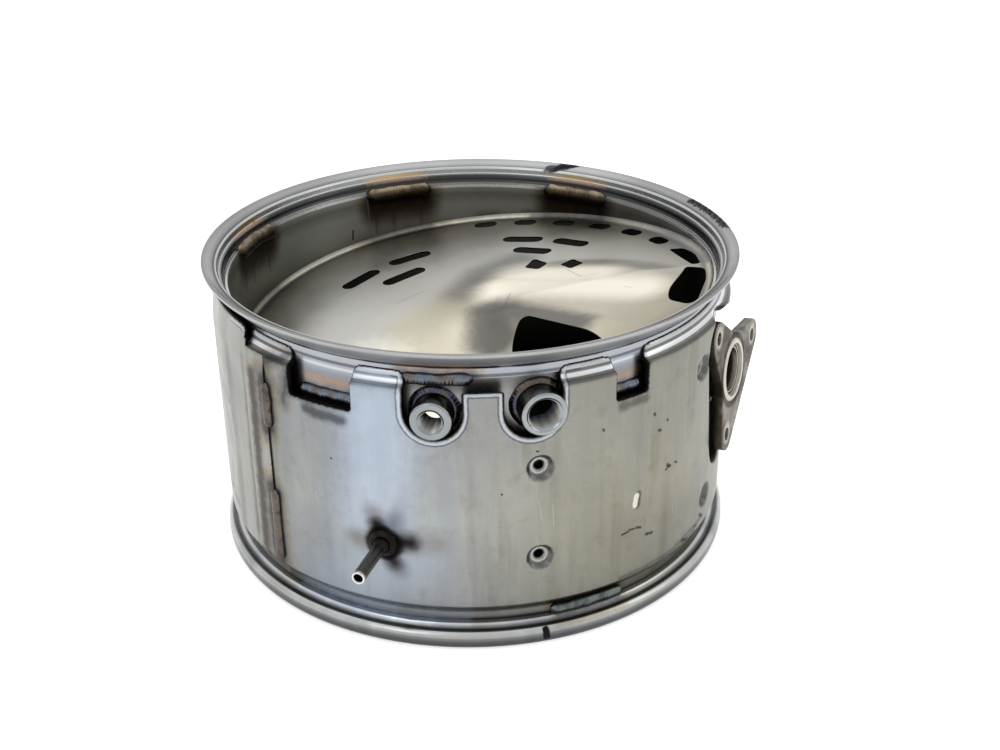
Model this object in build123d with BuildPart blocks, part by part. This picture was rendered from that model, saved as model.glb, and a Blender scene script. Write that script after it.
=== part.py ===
from build123d import *
import math
import os

os.makedirs("parts", exist_ok=True)

# All sizes are in millimetres. The origin is on the can's axis, at the bottom of the outlet flange.
# +Z runs up to the inlet, -Y faces the sensor bosses and +X faces the doser mount.
# Angles are in degrees, counted counter-clockwise from +X as seen from the inlet.
# A drop is measured down from the top of the inlet flange, and a reach outward from the piece it names.

# Can
body_height = 200
can_radius = 161
can_wall = 1.5
can_foot = 11
can_drop = 16

# Inlet flange: lip, groove wall, ledge, conical back and skirt
flange_reach = 14
lip_thickness = 2.5
lip_land = 1.4
lip_width = 8.6
lip_slope = 4.4
groove_width = 1.8
groove_depth = 4.1
crease_drop = 14
skirt_wall = 2
skirt_length = 26
skirt_relief_start = 251
skirt_relief_end = 292
skirt_relief_drop = 20.5

# Outlet flange: a rounded bead with a conical seat inside
outlet_skirt_top = 37
bead_neck_reach = 4
bead_neck_height = 14
bead_shoulder_width = 3.5
bead_shoulder_height = 11.8
bead_round = 2.5
bead_top = 10
bead_land_width = 6
seat_height = 9

# Insulated shields round the can
shield_gap = 10
shield_wall = 1.5
shield_foot = 16.5
foot_bend = 29
foot_run = 6.5
foot_bend_shift = 0.7
collar_bend_drop = 25.5
collar_run = 3.5
collar_bend_shift = 0.9
collar_drop = 18.5
rear_bend_drop = 35.5
rear_edge_drop = 16
rear_edge_set_in = 2.5
front_seam = 223.3
front_lap = 6.3
lap_joggle = 0.7
rear_seam = 43
corner_radius = 4
piece_gap = 0.3

# Notches and cut-outs in the front shield
notch_a_angle = 238
notch_a_width = 48
notch_b_angle = 302.9
notch_b_width = 27
notch_drop = 46
sensor_slot_radius = 18.8
sensor_slot_drop = 39.5
sensor_slot_turn = 1.6
bridge_drop = 27

# Sensor bosses: M14 x 1.5 and M20 x 1.5, with each bore at the thread's minor radius
temperature_angle = 262
temperature_drop = 41.4
temperature_boss_radius = 12
temperature_bore = 6.19
gas_angle = 283
gas_drop = 39.6
gas_boss_radius = 13.5
gas_bore = 9.19
boss_reach = 16
boss_chamfer = 0.8
bore_lead_in = 1.6
can_hole_clearance = 1.3
boss_weld_leg = 3.5
boss_weld_crest = 0.4

# Pressure tap: a stub with a stouter root where it passes through the shield
tap_angle = 251
tap_height = 70.6
tap_radius = 4
tap_root_radius = 5
tap_root_reach = 5
tap_bore = 2.75
tap_reach = 38
tap_weld_height = 3.2

# Dimples with a weld nut behind each one, as angle and height
upper_front_drop = 77.3
lower_front_height = 61.3
upper_side_drop = 50.1
lower_side_height = 50.3
upper_front_point = (282.7, body_height - upper_front_drop)
lower_front_point = (282.8, lower_front_height)
upper_side_point = (325.9, body_height - upper_side_drop)
lower_side_point = (331.1, lower_side_height)
shield_points = [upper_front_point, lower_front_point, upper_side_point, lower_side_point]
dimple_radius = 8.5
dimple_floor_radius = 6
dimple_depth = 3.5
point_hole = 4.3
nut_flats = 13
nut_height = 4.4
nut_bore = 3.3

# Doser mount: a three-lobed plate on a short neck that looks past the can's axis
doser_angle = -27.5
doser_tilt = 4.5
doser_offset = 37.4
doser_reach = 11.5
doser_drop = 76.2
doser_plate_thickness = 6
doser_bore = 14.5
doser_seat_radius = 17.5
doser_seat_depth = 1.5
doser_hub_radius = 22
doser_neck_radius = 20
doser_bolt_circle = 43
doser_lobe_radius = 11
doser_bolt_hole = 4.25
doser_first_lobe = 9.7
doser_lobe_turn = 120
doser_weld_leg = 3.5
doser_window_margin = 7
doser_window_depth = 45
mat_window_clearance = 5

# Insulation mat
mat_foot_clearance = 1
mat_drop = 64

# Inlet baffle: a helical plate with a riser and a raised round plateau
baffle_thickness = 2
baffle_hub_drop = 50
baffle_hub_soft = 18
baffle_rim_drop = 18
baffle_fall_per_degree = 0.305
riser_start = 270
riser_end = 320
riser_peak_drop = 20.5
plateau_rise = 3
plateau_centre_x = 40
plateau_centre_y = -50
plateau_radius = 87
plateau_shoulder = 26
plateau_edge_fade = 12
plateau_hub_clear = 8
plateau_ramp = 20
plateau_fade_start = 60
plateau_fade_end = 110
oval_slot_inset = 11.5
oval_slot_length = 17.5
oval_slot_width = 9
oval_slot_first = 25.5
oval_slot_pitch = 12
oval_slot_count = 6
long_slot_width = 9
window_side = 13.5
window_corner = 2
large_window_corner = 3

# Outlet baffle: a dished plate with one large opening and a row of round holes
outlet_baffle_height = 26
outlet_baffle_rim = 10
outlet_opening_radius = 62
outlet_opening_x = -30
outlet_opening_y = 25
outlet_hole_inset = 27.5
outlet_hole_radius = 9
outlet_hole_count = 8
outlet_hole_start = -140
outlet_hole_arc = 175

# Weld beads
inner_stitch_angles = [60, 110, 161, 212, 263]
inner_stitch_span = 18.5
foot_stitch_angles = [294.5, 54.5, 174.5]
foot_stitch_span = 17
bead_throat = 2.6
bead_toe = 0.9
seam_bead_reach = 2.4
seam_bead_half_width = 3.4
lower_seam_stitch = 32
lower_seam_stitch_length = 51
upper_seam_stitch_drop = 73
upper_seam_stitch_length = 30
rear_lower_stitch = 45
rear_upper_stitch_drop = 75
rear_stitch_length = 30

bore_radius = can_radius - can_wall
can_top = body_height - can_drop
skirt_radius = can_radius + skirt_wall
flange_radius = can_radius + flange_reach
flange_crease = body_height - crease_drop
skirt_bottom = flange_crease - skirt_length
skirt_relief_top = body_height - skirt_relief_drop
shield_radius = can_radius + shield_gap
shield_inner = shield_radius - shield_wall
collar_inner = skirt_radius
collar_outer = skirt_radius + shield_wall
collar_top = body_height - collar_drop
collar_bend = body_height - collar_bend_drop
rear_bend = body_height - rear_bend_drop
rear_top = body_height - rear_edge_drop
boss_face = can_radius + boss_reach
tap_end = shield_radius + tap_reach
tap_root_end = shield_radius + tap_root_reach
strip_start = front_seam - front_lap
bridge_angle = (temperature_angle + gas_angle - sensor_slot_turn) / 2
dimple_taper = math.degrees(math.atan2(dimple_radius - dimple_floor_radius, dimple_depth))
sensor_bosses = [
    (temperature_angle, body_height - temperature_drop, temperature_boss_radius, temperature_bore),
    (gas_angle, body_height - gas_drop, gas_boss_radius, gas_bore),
]


def smooth(value, low, high):
    """Rises smoothly from 0 at low to 1 at high."""
    part = min(1, max(0, (value - low) / (high - low)))
    return part * part * (3 - 2 * part)


def polar(angle, radius):
    """The place at this angle and radius, as x and y."""
    a = math.radians(angle)
    return (radius * math.cos(a), radius * math.sin(a))


def section_plane(angle):
    """Plane through the can's axis, with x outward at this angle and y up."""
    x, y = polar(angle, 1)
    return Plane(origin=(0, 0, 0), x_dir=(x, y, 0), z_dir=(y, -x, 0))


def radial_plane(angle, radius, height=0):
    """Plane facing outward at this angle, with x round the can and y up."""
    x, y = polar(angle, 1)
    return Plane(origin=(radius * x, radius * y, height), x_dir=(-y, x, 0), z_dir=(x, y, 0))


# The doser plate's outer face: x runs round the can, y up and z along the spray's axis
doser_out = Vector(1, 0, 0).rotate(Axis.Z, doser_angle)
doser_along = Vector(0, 1, 0).rotate(Axis.Z, doser_angle)
doser_plane = Plane(
    origin=doser_out * (can_radius + doser_reach)
    + doser_along * doser_offset
    + Vector(0, 0, body_height - doser_drop),
    x_dir=doser_along,
    z_dir=doser_out * math.cos(math.radians(doser_tilt))
    + Vector(0, 0, math.sin(math.radians(doser_tilt))),
)
lobe_places = [
    polar(doser_first_lobe + number * doser_lobe_turn, doser_bolt_circle) for number in (0, -1, 1)
]

# Inner can, with the holes behind the two bosses, the tap and the doser
with BuildPart() as inner_can:
    with BuildSketch(Plane.XY.offset(can_foot)):
        Circle(can_radius)
        Circle(bore_radius, mode=Mode.SUBTRACT)
    extrude(amount=can_top - can_foot)
    for angle, height, boss_radius, bore in sensor_bosses:
        with BuildSketch(radial_plane(angle, can_radius + can_wall, height)):
            Circle(bore + can_hole_clearance)
        extrude(amount=-4 * can_wall, mode=Mode.SUBTRACT)
    with BuildSketch(radial_plane(tap_angle, can_radius + can_wall, tap_height)):
        Circle(tap_bore)
    extrude(amount=-4 * can_wall, mode=Mode.SUBTRACT)
    with BuildSketch(doser_plane):
        Circle(doser_bore + can_hole_clearance)
    extrude(amount=-can_radius / 2, mode=Mode.SUBTRACT)
inner_can.part.label = "inner_can"
export_step(inner_can.part, "parts/inner_can.step")

# Inlet flange: sloping lip, groove wall, ledge, conical back and a skirt outside the can
with BuildPart() as inlet_flange:
    with BuildSketch(Plane.XZ):
        with BuildLine():
            Polyline(
                (can_radius, skirt_bottom),
                (skirt_radius, skirt_bottom),
                (skirt_radius, flange_crease),
                (flange_radius, body_height - lip_thickness),
                (flange_radius, body_height),
                (flange_radius - lip_land, body_height),
                (flange_radius - lip_width, body_height - lip_slope),
                (flange_radius - lip_width - groove_width, body_height - lip_slope - groove_depth),
                (can_radius, flange_crease + lip_land / 2),
                close=True,
            )
        make_face()
    revolve(axis=Axis.Z)
    with BuildSketch(section_plane(skirt_relief_start)):
        with Locations(((can_radius + skirt_radius) / 2, skirt_bottom - 1)):
            Rectangle(2 * skirt_wall, skirt_relief_top - skirt_bottom + 1, align=(Align.CENTER, Align.MIN))
    revolve(axis=Axis.Z, revolution_arc=skirt_relief_end - skirt_relief_start, mode=Mode.SUBTRACT)
inlet_flange.part.label = "inlet_flange"
export_step(inlet_flange.part, "parts/inlet_flange.step")

# Outlet flange: a rounded bead that stands out under the shields, with a conical seat inside
with BuildPart() as outlet_flange:
    with BuildSketch(Plane.XZ):
        with BuildLine():
            Polyline(
                (can_radius, outlet_skirt_top),
                (skirt_radius, outlet_skirt_top),
                (skirt_radius, shield_foot - piece_gap),
                (skirt_radius + bead_neck_reach, bead_neck_height),
                (flange_radius - bead_shoulder_width, bead_shoulder_height),
                (flange_radius - bead_round / 3, bead_top),
                (flange_radius, bead_top - bead_round),
                (flange_radius, bead_round),
                (flange_radius - bead_round / 2, 0),
                (flange_radius - bead_land_width, 0),
                (can_radius, seat_height),
                close=True,
            )
        make_face()
    revolve(axis=Axis.Z)
outlet_flange.part.label = "outlet_flange"
export_step(outlet_flange.part, "parts/outlet_flange.step")


# Inlet baffle: a pressed helical plate that falls round the can, a riser that climbs back, and a raised
# round plateau beside the riser
def rim_height(angle):
    """Height of the baffle's edge at this angle."""
    angle = angle % 360
    top = body_height - baffle_rim_drop
    foot = top - baffle_fall_per_degree * riser_start
    peak = body_height - riser_peak_drop
    if angle <= riser_start:
        return top - baffle_fall_per_degree * angle
    if angle < riser_end:
        return foot + (peak - foot) * smooth(angle, riser_start, riser_end)
    return peak + (top - peak) * (angle - riser_end) / (360 - riser_end)


def baffle_height(x, y):
    """Height of the baffle's upper face at this place."""
    radius = math.hypot(x, y)
    angle = math.degrees(math.atan2(y, x)) % 360
    hub = body_height - baffle_hub_drop
    reach = min(1, radius / bore_radius) * (1 - math.exp(-((radius / baffle_hub_soft) ** 2)))
    height = hub + (rim_height(angle) - hub) * reach
    from_centre = math.hypot(x - plateau_centre_x, y - plateau_centre_y)
    inside = 1 - smooth(from_centre, plateau_radius, plateau_radius + plateau_shoulder)
    if angle > 180:
        beside = smooth(angle, riser_start + plateau_ramp, riser_end)
    else:
        beside = 1 - smooth(angle, plateau_fade_start, plateau_fade_end)
    hub_fade = smooth(radius, plateau_hub_clear, 2 * baffle_hub_soft)
    edge_fade = 1 - smooth(radius, bore_radius - plateau_edge_fade, bore_radius)
    return height + plateau_rise * inside * beside * hub_fade * edge_fade


grid_count = 33
grid_half = bore_radius + baffle_thickness
baffle_points = []
for row in range(grid_count):
    y = grid_half * (2 * row / (grid_count - 1) - 1)
    line = []
    for column in range(grid_count):
        x = grid_half * (2 * column / (grid_count - 1) - 1)
        line.append(Vector(x, y, baffle_height(x, y)))
    baffle_points.append(line)
baffle_skin = Face.make_surface_from_array_of_points(baffle_points, tol=0.6)

# Openings in the inlet baffle. A slot is its inset from the can's bore, angle and length. The corners
# edge windows are angle and inset, and the primary opening lies in the riser.
round_slots = [
    (oval_slot_inset, oval_slot_first + number * oval_slot_pitch, oval_slot_length)
    for number in range(oval_slot_count)
]
long_slots = [(43.5, 70.5, 31), (43.5, 51, 30), (63, 62.5, 30)]
slanted_slots = [(52, 138, 34), (50, 114.5, 33), (76, 125.5, 35)]
square_windows = [(86.5, 51), (75.5, 33)]
large_edge_window = [
    (-0.4, 16.5),
    (-3.3, 5.2),
    (-8.1, 3.9),
    (-23.7, 5.5),
    (-27.1, 10.1),
    (-25.1, 22.6),
    (-18.6, 27.6),
]
small_edge_window = [(17.2, 15.6), (14.5, 7.2), (8.6, 5), (-0.2, 6.5), (-0.2, 12)]
primary_inset = 41.5
primary_inner_side = 25
primary_inner_top = 45
primary_peak_side = 33
primary_peak_top = 34
primary_outer_side = 78
primary_outer_top = 85
primary_foot_side = 85
primary_corner = 7
primary_foot = bore_radius - primary_inset
with BuildPart() as inlet_baffle:
    extrude(to_extrude=baffle_skin, amount=baffle_thickness, dir=(0, 0, -1))
    Cylinder(bore_radius, body_height, align=(Align.CENTER, Align.CENTER, Align.MIN), mode=Mode.INTERSECT)
    with BuildSketch(Plane.XY.offset(body_height)):
        for inset, angle, length in round_slots:
            with PolarLocations(bore_radius - inset, 1, start_angle=angle):
                SlotOverall(length, oval_slot_width, rotation=90)
        for inset, angle, length in long_slots + slanted_slots:
            with PolarLocations(bore_radius - inset, 1, start_angle=angle):
                SlotOverall(length, long_slot_width, rotation=90)
        for inset, angle in square_windows:
            with PolarLocations(bore_radius - inset, 1, start_angle=angle):
                RectangleRounded(window_side, window_side, window_corner)
        for corners, radius in [
            (large_edge_window, large_window_corner),
            (small_edge_window, window_corner),
        ]:
            with BuildLine():
                FilletPolyline(
                    *[polar(angle, bore_radius - inset) for angle, inset in corners],
                    close=True,
                    radius=radius,
                )
            make_face()
        with BuildLine():
            FilletPolyline(
                (primary_inner_side, -primary_foot),
                (primary_inner_side, -primary_inner_top),
                (primary_peak_side, -primary_peak_top),
                (primary_outer_side, -primary_outer_top),
                (primary_foot_side, -primary_foot),
                close=True,
                radius=primary_corner,
            )
        make_face()
    extrude(amount=-body_height, mode=Mode.SUBTRACT)
inlet_baffle.part.label = "inlet_baffle"
export_step(inlet_baffle.part, "parts/inlet_baffle.step")

# Outlet baffle
with BuildPart() as outlet_baffle:
    with BuildSketch(Plane.XY.offset(outlet_baffle_height)):
        Circle(bore_radius)
    extrude(amount=outlet_baffle_rim)
    with BuildSketch(Plane.XY.offset(outlet_baffle_height + baffle_thickness)):
        Circle(bore_radius - baffle_thickness)
    extrude(amount=outlet_baffle_rim, mode=Mode.SUBTRACT)
    with BuildSketch(Plane.XY.offset(outlet_baffle_height)):
        with Locations((outlet_opening_x, outlet_opening_y)):
            Circle(outlet_opening_radius)
        with PolarLocations(
            bore_radius - outlet_hole_inset,
            outlet_hole_count,
            start_angle=outlet_hole_start,
            angular_range=outlet_hole_arc,
            endpoint=True,
        ):
            Circle(outlet_hole_radius)
    extrude(amount=baffle_thickness, mode=Mode.SUBTRACT)
outlet_baffle.part.label = "outlet_baffle"
export_step(outlet_baffle.part, "parts/outlet_baffle.step")

# Front shield: a wrap with a joggled foot and collar, from the front seam round to the rear seam
with BuildPart() as front_shield:
    with BuildSketch(section_plane(strip_start)):
        with BuildLine():
            Polyline(
                (collar_inner, shield_foot),
                (collar_outer, shield_foot),
                (collar_outer, foot_bend - foot_run),
                (shield_radius, foot_bend),
                (shield_radius, collar_bend),
                (collar_outer, collar_bend + collar_run),
                (collar_outer, collar_top),
                (collar_inner, collar_top),
                (collar_inner, collar_bend + collar_run - collar_bend_shift),
                (shield_inner, collar_bend - collar_bend_shift),
                (shield_inner, foot_bend + foot_bend_shift),
                (collar_inner, foot_bend - foot_run + foot_bend_shift),
                close=True,
            )
        make_face()
    revolve(axis=Axis.Z, revolution_arc=360 + rear_seam - strip_start)
    for angle, width in [(notch_a_angle, notch_a_width), (notch_b_angle, notch_b_width)]:
        with BuildSketch(radial_plane(angle, shield_radius + shield_wall)):
            with Locations((0, body_height - notch_drop)):
                RectangleRounded(width, 2 * notch_drop, corner_radius, align=(Align.CENTER, Align.MIN))
            with Locations((0, collar_top - corner_radius)):
                Rectangle(width + 2 * corner_radius, 2 * corner_radius, align=(Align.CENTER, Align.MIN))
            with Locations(
                (-width / 2 - corner_radius, collar_top - corner_radius),
                (width / 2 + corner_radius, collar_top - corner_radius),
            ):
                Circle(corner_radius, mode=Mode.SUBTRACT)
        extrude(amount=-2 * shield_gap, mode=Mode.SUBTRACT)
    for angle in (temperature_angle, gas_angle - sensor_slot_turn):
        with BuildSketch(radial_plane(angle, shield_radius + shield_wall)):
            with Locations((0, body_height - sensor_slot_drop)):
                Circle(sensor_slot_radius)
                Rectangle(2 * sensor_slot_radius, sensor_slot_drop, align=(Align.CENTER, Align.MIN))
            with Locations((0, collar_top - corner_radius)):
                Rectangle(
                    2 * (sensor_slot_radius + corner_radius),
                    2 * corner_radius,
                    align=(Align.CENTER, Align.MIN),
                )
            with Locations(
                (-sensor_slot_radius - corner_radius, collar_top - corner_radius),
                (sensor_slot_radius + corner_radius, collar_top - corner_radius),
            ):
                Circle(corner_radius, mode=Mode.SUBTRACT)
        extrude(amount=-2 * shield_gap, mode=Mode.SUBTRACT)
    with BuildSketch(radial_plane(bridge_angle, shield_radius + shield_wall)):
        with Locations((0, body_height - bridge_drop)):
            Rectangle(1.4 * sensor_slot_radius, bridge_drop, align=(Align.CENTER, Align.MIN))
    extrude(amount=-2 * shield_gap, mode=Mode.SUBTRACT)
    with BuildSketch(doser_plane):
        with Locations(*lobe_places):
            Circle(doser_lobe_radius + doser_window_margin)
        make_hull()
    extrude(amount=doser_window_depth, both=True, mode=Mode.SUBTRACT)
    with BuildSketch(radial_plane(tap_angle, shield_radius + shield_wall, tap_height)):
        Circle(tap_root_radius)
    extrude(amount=-2 * shield_wall - 1, mode=Mode.SUBTRACT)
    for angle, height in shield_points:
        with BuildSketch(radial_plane(angle, shield_inner - dimple_depth, height)):
            Circle(dimple_radius + 1)
        extrude(amount=dimple_depth + shield_wall / 2)
        with BuildSketch(radial_plane(angle, shield_radius - dimple_depth, height)):
            Circle(dimple_floor_radius)
        extrude(amount=dimple_depth + 1, taper=-dimple_taper, mode=Mode.SUBTRACT)
        with BuildSketch(radial_plane(angle, shield_radius, height)):
            Circle(point_hole)
        extrude(amount=-2 * dimple_depth, mode=Mode.SUBTRACT)
front_shield.part.label = "front_shield"
export_step(front_shield.part, "parts/front_shield.step")

# Rear shield: the other half of the wrap, with a raised strip that laps over the front shield
with BuildPart() as rear_shield:
    with BuildSketch(section_plane(rear_seam)):
        with BuildLine():
            Polyline(
                (collar_inner, shield_foot),
                (collar_outer, shield_foot),
                (collar_outer, foot_bend - foot_run),
                (shield_radius, foot_bend),
                (shield_radius, rear_bend),
                (shield_radius - rear_edge_set_in, rear_top),
                (shield_inner - rear_edge_set_in, rear_top),
                (shield_inner, rear_bend),
                (shield_inner, foot_bend + foot_bend_shift),
                (collar_inner, foot_bend - foot_run + foot_bend_shift),
                close=True,
            )
        make_face()
    revolve(axis=Axis.Z, revolution_arc=strip_start - rear_seam)
    with BuildSketch(section_plane(strip_start - 2 * lap_joggle)):
        with Locations((shield_inner, foot_bend + 1)):
            Rectangle(2 * shield_wall, rear_bend - foot_bend - 2, align=(Align.MIN, Align.MIN))
    revolve(axis=Axis.Z, revolution_arc=2 * lap_joggle)
    with BuildSketch(section_plane(strip_start - lap_joggle)):
        with Locations((shield_radius, foot_bend + 1)):
            Rectangle(shield_wall, collar_bend - foot_bend + 5, align=(Align.MIN, Align.MIN))
    revolve(axis=Axis.Z, revolution_arc=front_lap + lap_joggle)
rear_shield.part.label = "rear_shield"
export_step(rear_shield.part, "parts/rear_shield.step")

# Insulation mat between the can and the shields
mat_bottom = outlet_skirt_top + mat_foot_clearance
with BuildPart() as insulation_mat:
    with BuildSketch(Plane.XY.offset(mat_bottom)):
        Circle(shield_inner)
        Circle(can_radius, mode=Mode.SUBTRACT)
    extrude(amount=body_height - mat_drop - mat_bottom)
    with BuildSketch(doser_plane):
        with Locations(*lobe_places):
            Circle(doser_lobe_radius + doser_window_margin + mat_window_clearance)
        make_hull()
    extrude(amount=doser_window_depth, both=True, mode=Mode.SUBTRACT)
    with BuildSketch(radial_plane(tap_angle, shield_radius, tap_height)):
        Circle(tap_root_radius)
    extrude(amount=-2 * shield_gap, mode=Mode.SUBTRACT)
    for angle, height in shield_points:
        with BuildSketch(radial_plane(angle, shield_radius, height)):
            Circle(dimple_radius + 2)
        extrude(amount=-2 * shield_gap, mode=Mode.SUBTRACT)
insulation_mat.part.label = "insulation_mat"
export_step(insulation_mat.part, "parts/insulation_mat.step")

# Sensor bosses: threaded rings that stand on the can, each inside a weld bead
with BuildPart() as temperature_boss:
    with BuildSketch(radial_plane(temperature_angle, boss_face, body_height - temperature_drop)):
        Circle(temperature_boss_radius)
    extrude(amount=-2 * boss_reach)
    outer_face = temperature_boss.faces().filter_by(GeomType.PLANE).sort_by_distance((0, 0, 0))[-1]
    chamfer(outer_face.edges(), boss_chamfer)
    with BuildSketch(radial_plane(temperature_angle, boss_face, body_height - temperature_drop)):
        Circle(temperature_bore)
    extrude(amount=-2 * boss_reach, mode=Mode.SUBTRACT)
    with BuildSketch(radial_plane(temperature_angle, boss_face, body_height - temperature_drop)):
        Circle(temperature_bore + bore_lead_in)
    extrude(amount=-bore_lead_in, taper=45, mode=Mode.SUBTRACT)
    Cylinder(can_radius, 2 * body_height, mode=Mode.SUBTRACT)
temperature_boss.part.label = "temperature_boss"
export_step(temperature_boss.part, "parts/temperature_boss.step")

with BuildPart() as gas_sensor_boss:
    with BuildSketch(radial_plane(gas_angle, boss_face, body_height - gas_drop)):
        Circle(gas_boss_radius)
    extrude(amount=-2 * boss_reach)
    outer_face = gas_sensor_boss.faces().filter_by(GeomType.PLANE).sort_by_distance((0, 0, 0))[-1]
    chamfer(outer_face.edges(), boss_chamfer)
    with BuildSketch(radial_plane(gas_angle, boss_face, body_height - gas_drop)):
        Circle(gas_bore)
    extrude(amount=-2 * boss_reach, mode=Mode.SUBTRACT)
    with BuildSketch(radial_plane(gas_angle, boss_face, body_height - gas_drop)):
        Circle(gas_bore + bore_lead_in)
    extrude(amount=-bore_lead_in, taper=45, mode=Mode.SUBTRACT)
    Cylinder(can_radius, 2 * body_height, mode=Mode.SUBTRACT)
gas_sensor_boss.part.label = "gas_sensor_boss"
export_step(gas_sensor_boss.part, "parts/gas_sensor_boss.step")

with BuildPart() as boss_welds:
    for angle, height, boss_radius, bore in sensor_bosses:
        with BuildSketch(radial_plane(angle, can_radius + boss_weld_leg, height)):
            Circle(boss_radius + boss_weld_crest)
        extrude(amount=-boss_weld_leg - can_wall, taper=-40)
    Cylinder(can_radius, 2 * body_height, mode=Mode.SUBTRACT)
    for angle, height, boss_radius, bore in sensor_bosses:
        with BuildSketch(radial_plane(angle, boss_face, height)):
            Circle(boss_radius)
        extrude(amount=-2 * boss_reach, mode=Mode.SUBTRACT)
boss_welds.part.label = "boss_welds"
export_step(boss_welds.part, "parts/boss_welds.step")

# Pressure tap: a stub from the can through the shield, welded to the shield
with BuildPart() as pressure_tap:
    with BuildSketch(radial_plane(tap_angle, tap_end, tap_height)):
        Circle(tap_radius)
    extrude(amount=tap_root_end - tap_end)
    with BuildSketch(radial_plane(tap_angle, tap_root_end, tap_height)):
        Circle(tap_root_radius)
    extrude(amount=-tap_root_reach - shield_gap - tap_root_radius)
    with BuildSketch(radial_plane(tap_angle, tap_end, tap_height)):
        Circle(tap_bore)
    extrude(amount=-tap_reach - 2 * shield_gap, mode=Mode.SUBTRACT)
    Cylinder(can_radius, 2 * body_height, mode=Mode.SUBTRACT)
pressure_tap.part.label = "pressure_tap"
export_step(pressure_tap.part, "parts/pressure_tap.step")

with BuildPart() as tap_weld:
    with BuildSketch(radial_plane(tap_angle, shield_radius + tap_weld_height, tap_height)):
        Circle(tap_root_radius + bead_toe)
    extrude(amount=-tap_weld_height - shield_wall, taper=-45)
    with BuildSketch(radial_plane(tap_angle, tap_end, tap_height)):
        Circle(tap_root_radius)
    extrude(amount=-2 * tap_reach, mode=Mode.SUBTRACT)
    Cylinder(shield_radius, 2 * body_height, mode=Mode.SUBTRACT)
tap_weld.part.label = "tap_weld"
export_step(tap_weld.part, "parts/tap_weld.step")

# Weld nuts behind the dimples: one group of four
with BuildPart() as shield_inserts:
    for angle, height in shield_points:
        with BuildSketch(radial_plane(angle, shield_inner - dimple_depth, height)):
            RegularPolygon(nut_flats / 2, 6, major_radius=False)
            Circle(nut_bore, mode=Mode.SUBTRACT)
        extrude(amount=-nut_height)
shield_inserts.part.label = "shield_inserts"
export_step(shield_inserts.part, "parts/shield_inserts.step")

# Doser mount: two of the lobes share a straight edge, and the third stands on an arm of its own
with BuildPart() as doser_mount:
    with BuildSketch(doser_plane):
        with Locations(lobe_places[0], lobe_places[1]):
            Circle(doser_lobe_radius)
        Circle(doser_hub_radius)
        make_hull()
    extrude(amount=-doser_plate_thickness)
    with BuildSketch(doser_plane):
        with Locations(lobe_places[2]):
            Circle(doser_lobe_radius)
        Circle(doser_hub_radius)
        make_hull()
    extrude(amount=-doser_plate_thickness)
    with BuildSketch(doser_plane.offset(-doser_plate_thickness)):
        Circle(doser_neck_radius)
    extrude(amount=-doser_offset)
    Cylinder(can_radius, 2 * body_height, mode=Mode.SUBTRACT)
    with BuildSketch(doser_plane):
        Circle(doser_bore)
    extrude(amount=-2 * doser_offset, mode=Mode.SUBTRACT)
    with BuildSketch(doser_plane):
        Circle(doser_seat_radius)
    extrude(amount=-doser_seat_depth, mode=Mode.SUBTRACT)
    with BuildSketch(doser_plane):
        with Locations(*lobe_places):
            Circle(doser_bolt_hole)
    extrude(amount=-doser_plate_thickness, mode=Mode.SUBTRACT)
doser_mount.part.label = "doser_mount"
export_step(doser_mount.part, "parts/doser_mount.step")

with BuildPart() as doser_weld:
    with BuildSketch(doser_plane.offset(-doser_plate_thickness)):
        Circle(doser_neck_radius + doser_weld_leg)
        Circle(doser_neck_radius, mode=Mode.SUBTRACT)
    extrude(amount=-doser_offset)
    Cylinder(can_radius + doser_weld_leg, 2 * body_height, mode=Mode.INTERSECT)
    Cylinder(can_radius, 2 * body_height, mode=Mode.SUBTRACT)
doser_weld.part.label = "doser_weld"
export_step(doser_weld.part, "parts/doser_weld.step")

# Stitch welds inside the mouth, between the can's edge and the flange
with BuildPart() as inner_stitch_welds:
    for angle in inner_stitch_angles:
        with BuildSketch(section_plane(angle - inner_stitch_span / 2)):
            with BuildLine():
                Polyline(
                    (bore_radius, can_top - 2.5 * bead_throat),
                    (bore_radius - bead_throat + 0.3, can_top - 1.7 * bead_throat),
                    (bore_radius - bead_throat, can_top - 0.6 * bead_throat),
                    (bore_radius - bead_toe, can_top + 1.4),
                    (can_radius, flange_crease),
                    (can_radius, can_top),
                    (bore_radius, can_top),
                    close=True,
                )
            make_face()
        revolve(axis=Axis.Z, revolution_arc=inner_stitch_span)
inner_stitch_welds.part.label = "inner_stitch_welds"
export_step(inner_stitch_welds.part, "parts/inner_stitch_welds.step")

# Stitch welds at the lower edge of the inlet flange's skirt: middle angle, span and height of that edge
outer_stitches = [(238.5, 14, skirt_bottom), (262.7, 14, skirt_relief_top), (303, 8, skirt_bottom)]
with BuildPart() as outer_stitch_welds:
    for angle, span, edge in outer_stitches:
        with BuildSketch(section_plane(angle - span / 2)):
            with BuildLine():
                Polyline(
                    (can_radius, edge - 2 * bead_throat),
                    (can_radius + bead_throat, edge - 1.5 * bead_throat),
                    (skirt_radius + 0.9 * bead_throat, edge - 0.6 * bead_throat),
                    (skirt_radius + 0.85 * bead_throat, edge + 0.6 * bead_throat),
                    (skirt_radius, edge + 1.3 * bead_throat),
                    (skirt_radius, edge),
                    (can_radius, edge),
                    close=True,
                )
            make_face()
        revolve(axis=Axis.Z, revolution_arc=span)
outer_stitch_welds.part.label = "outer_stitch_welds"
export_step(outer_stitch_welds.part, "parts/outer_stitch_welds.step")

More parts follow.
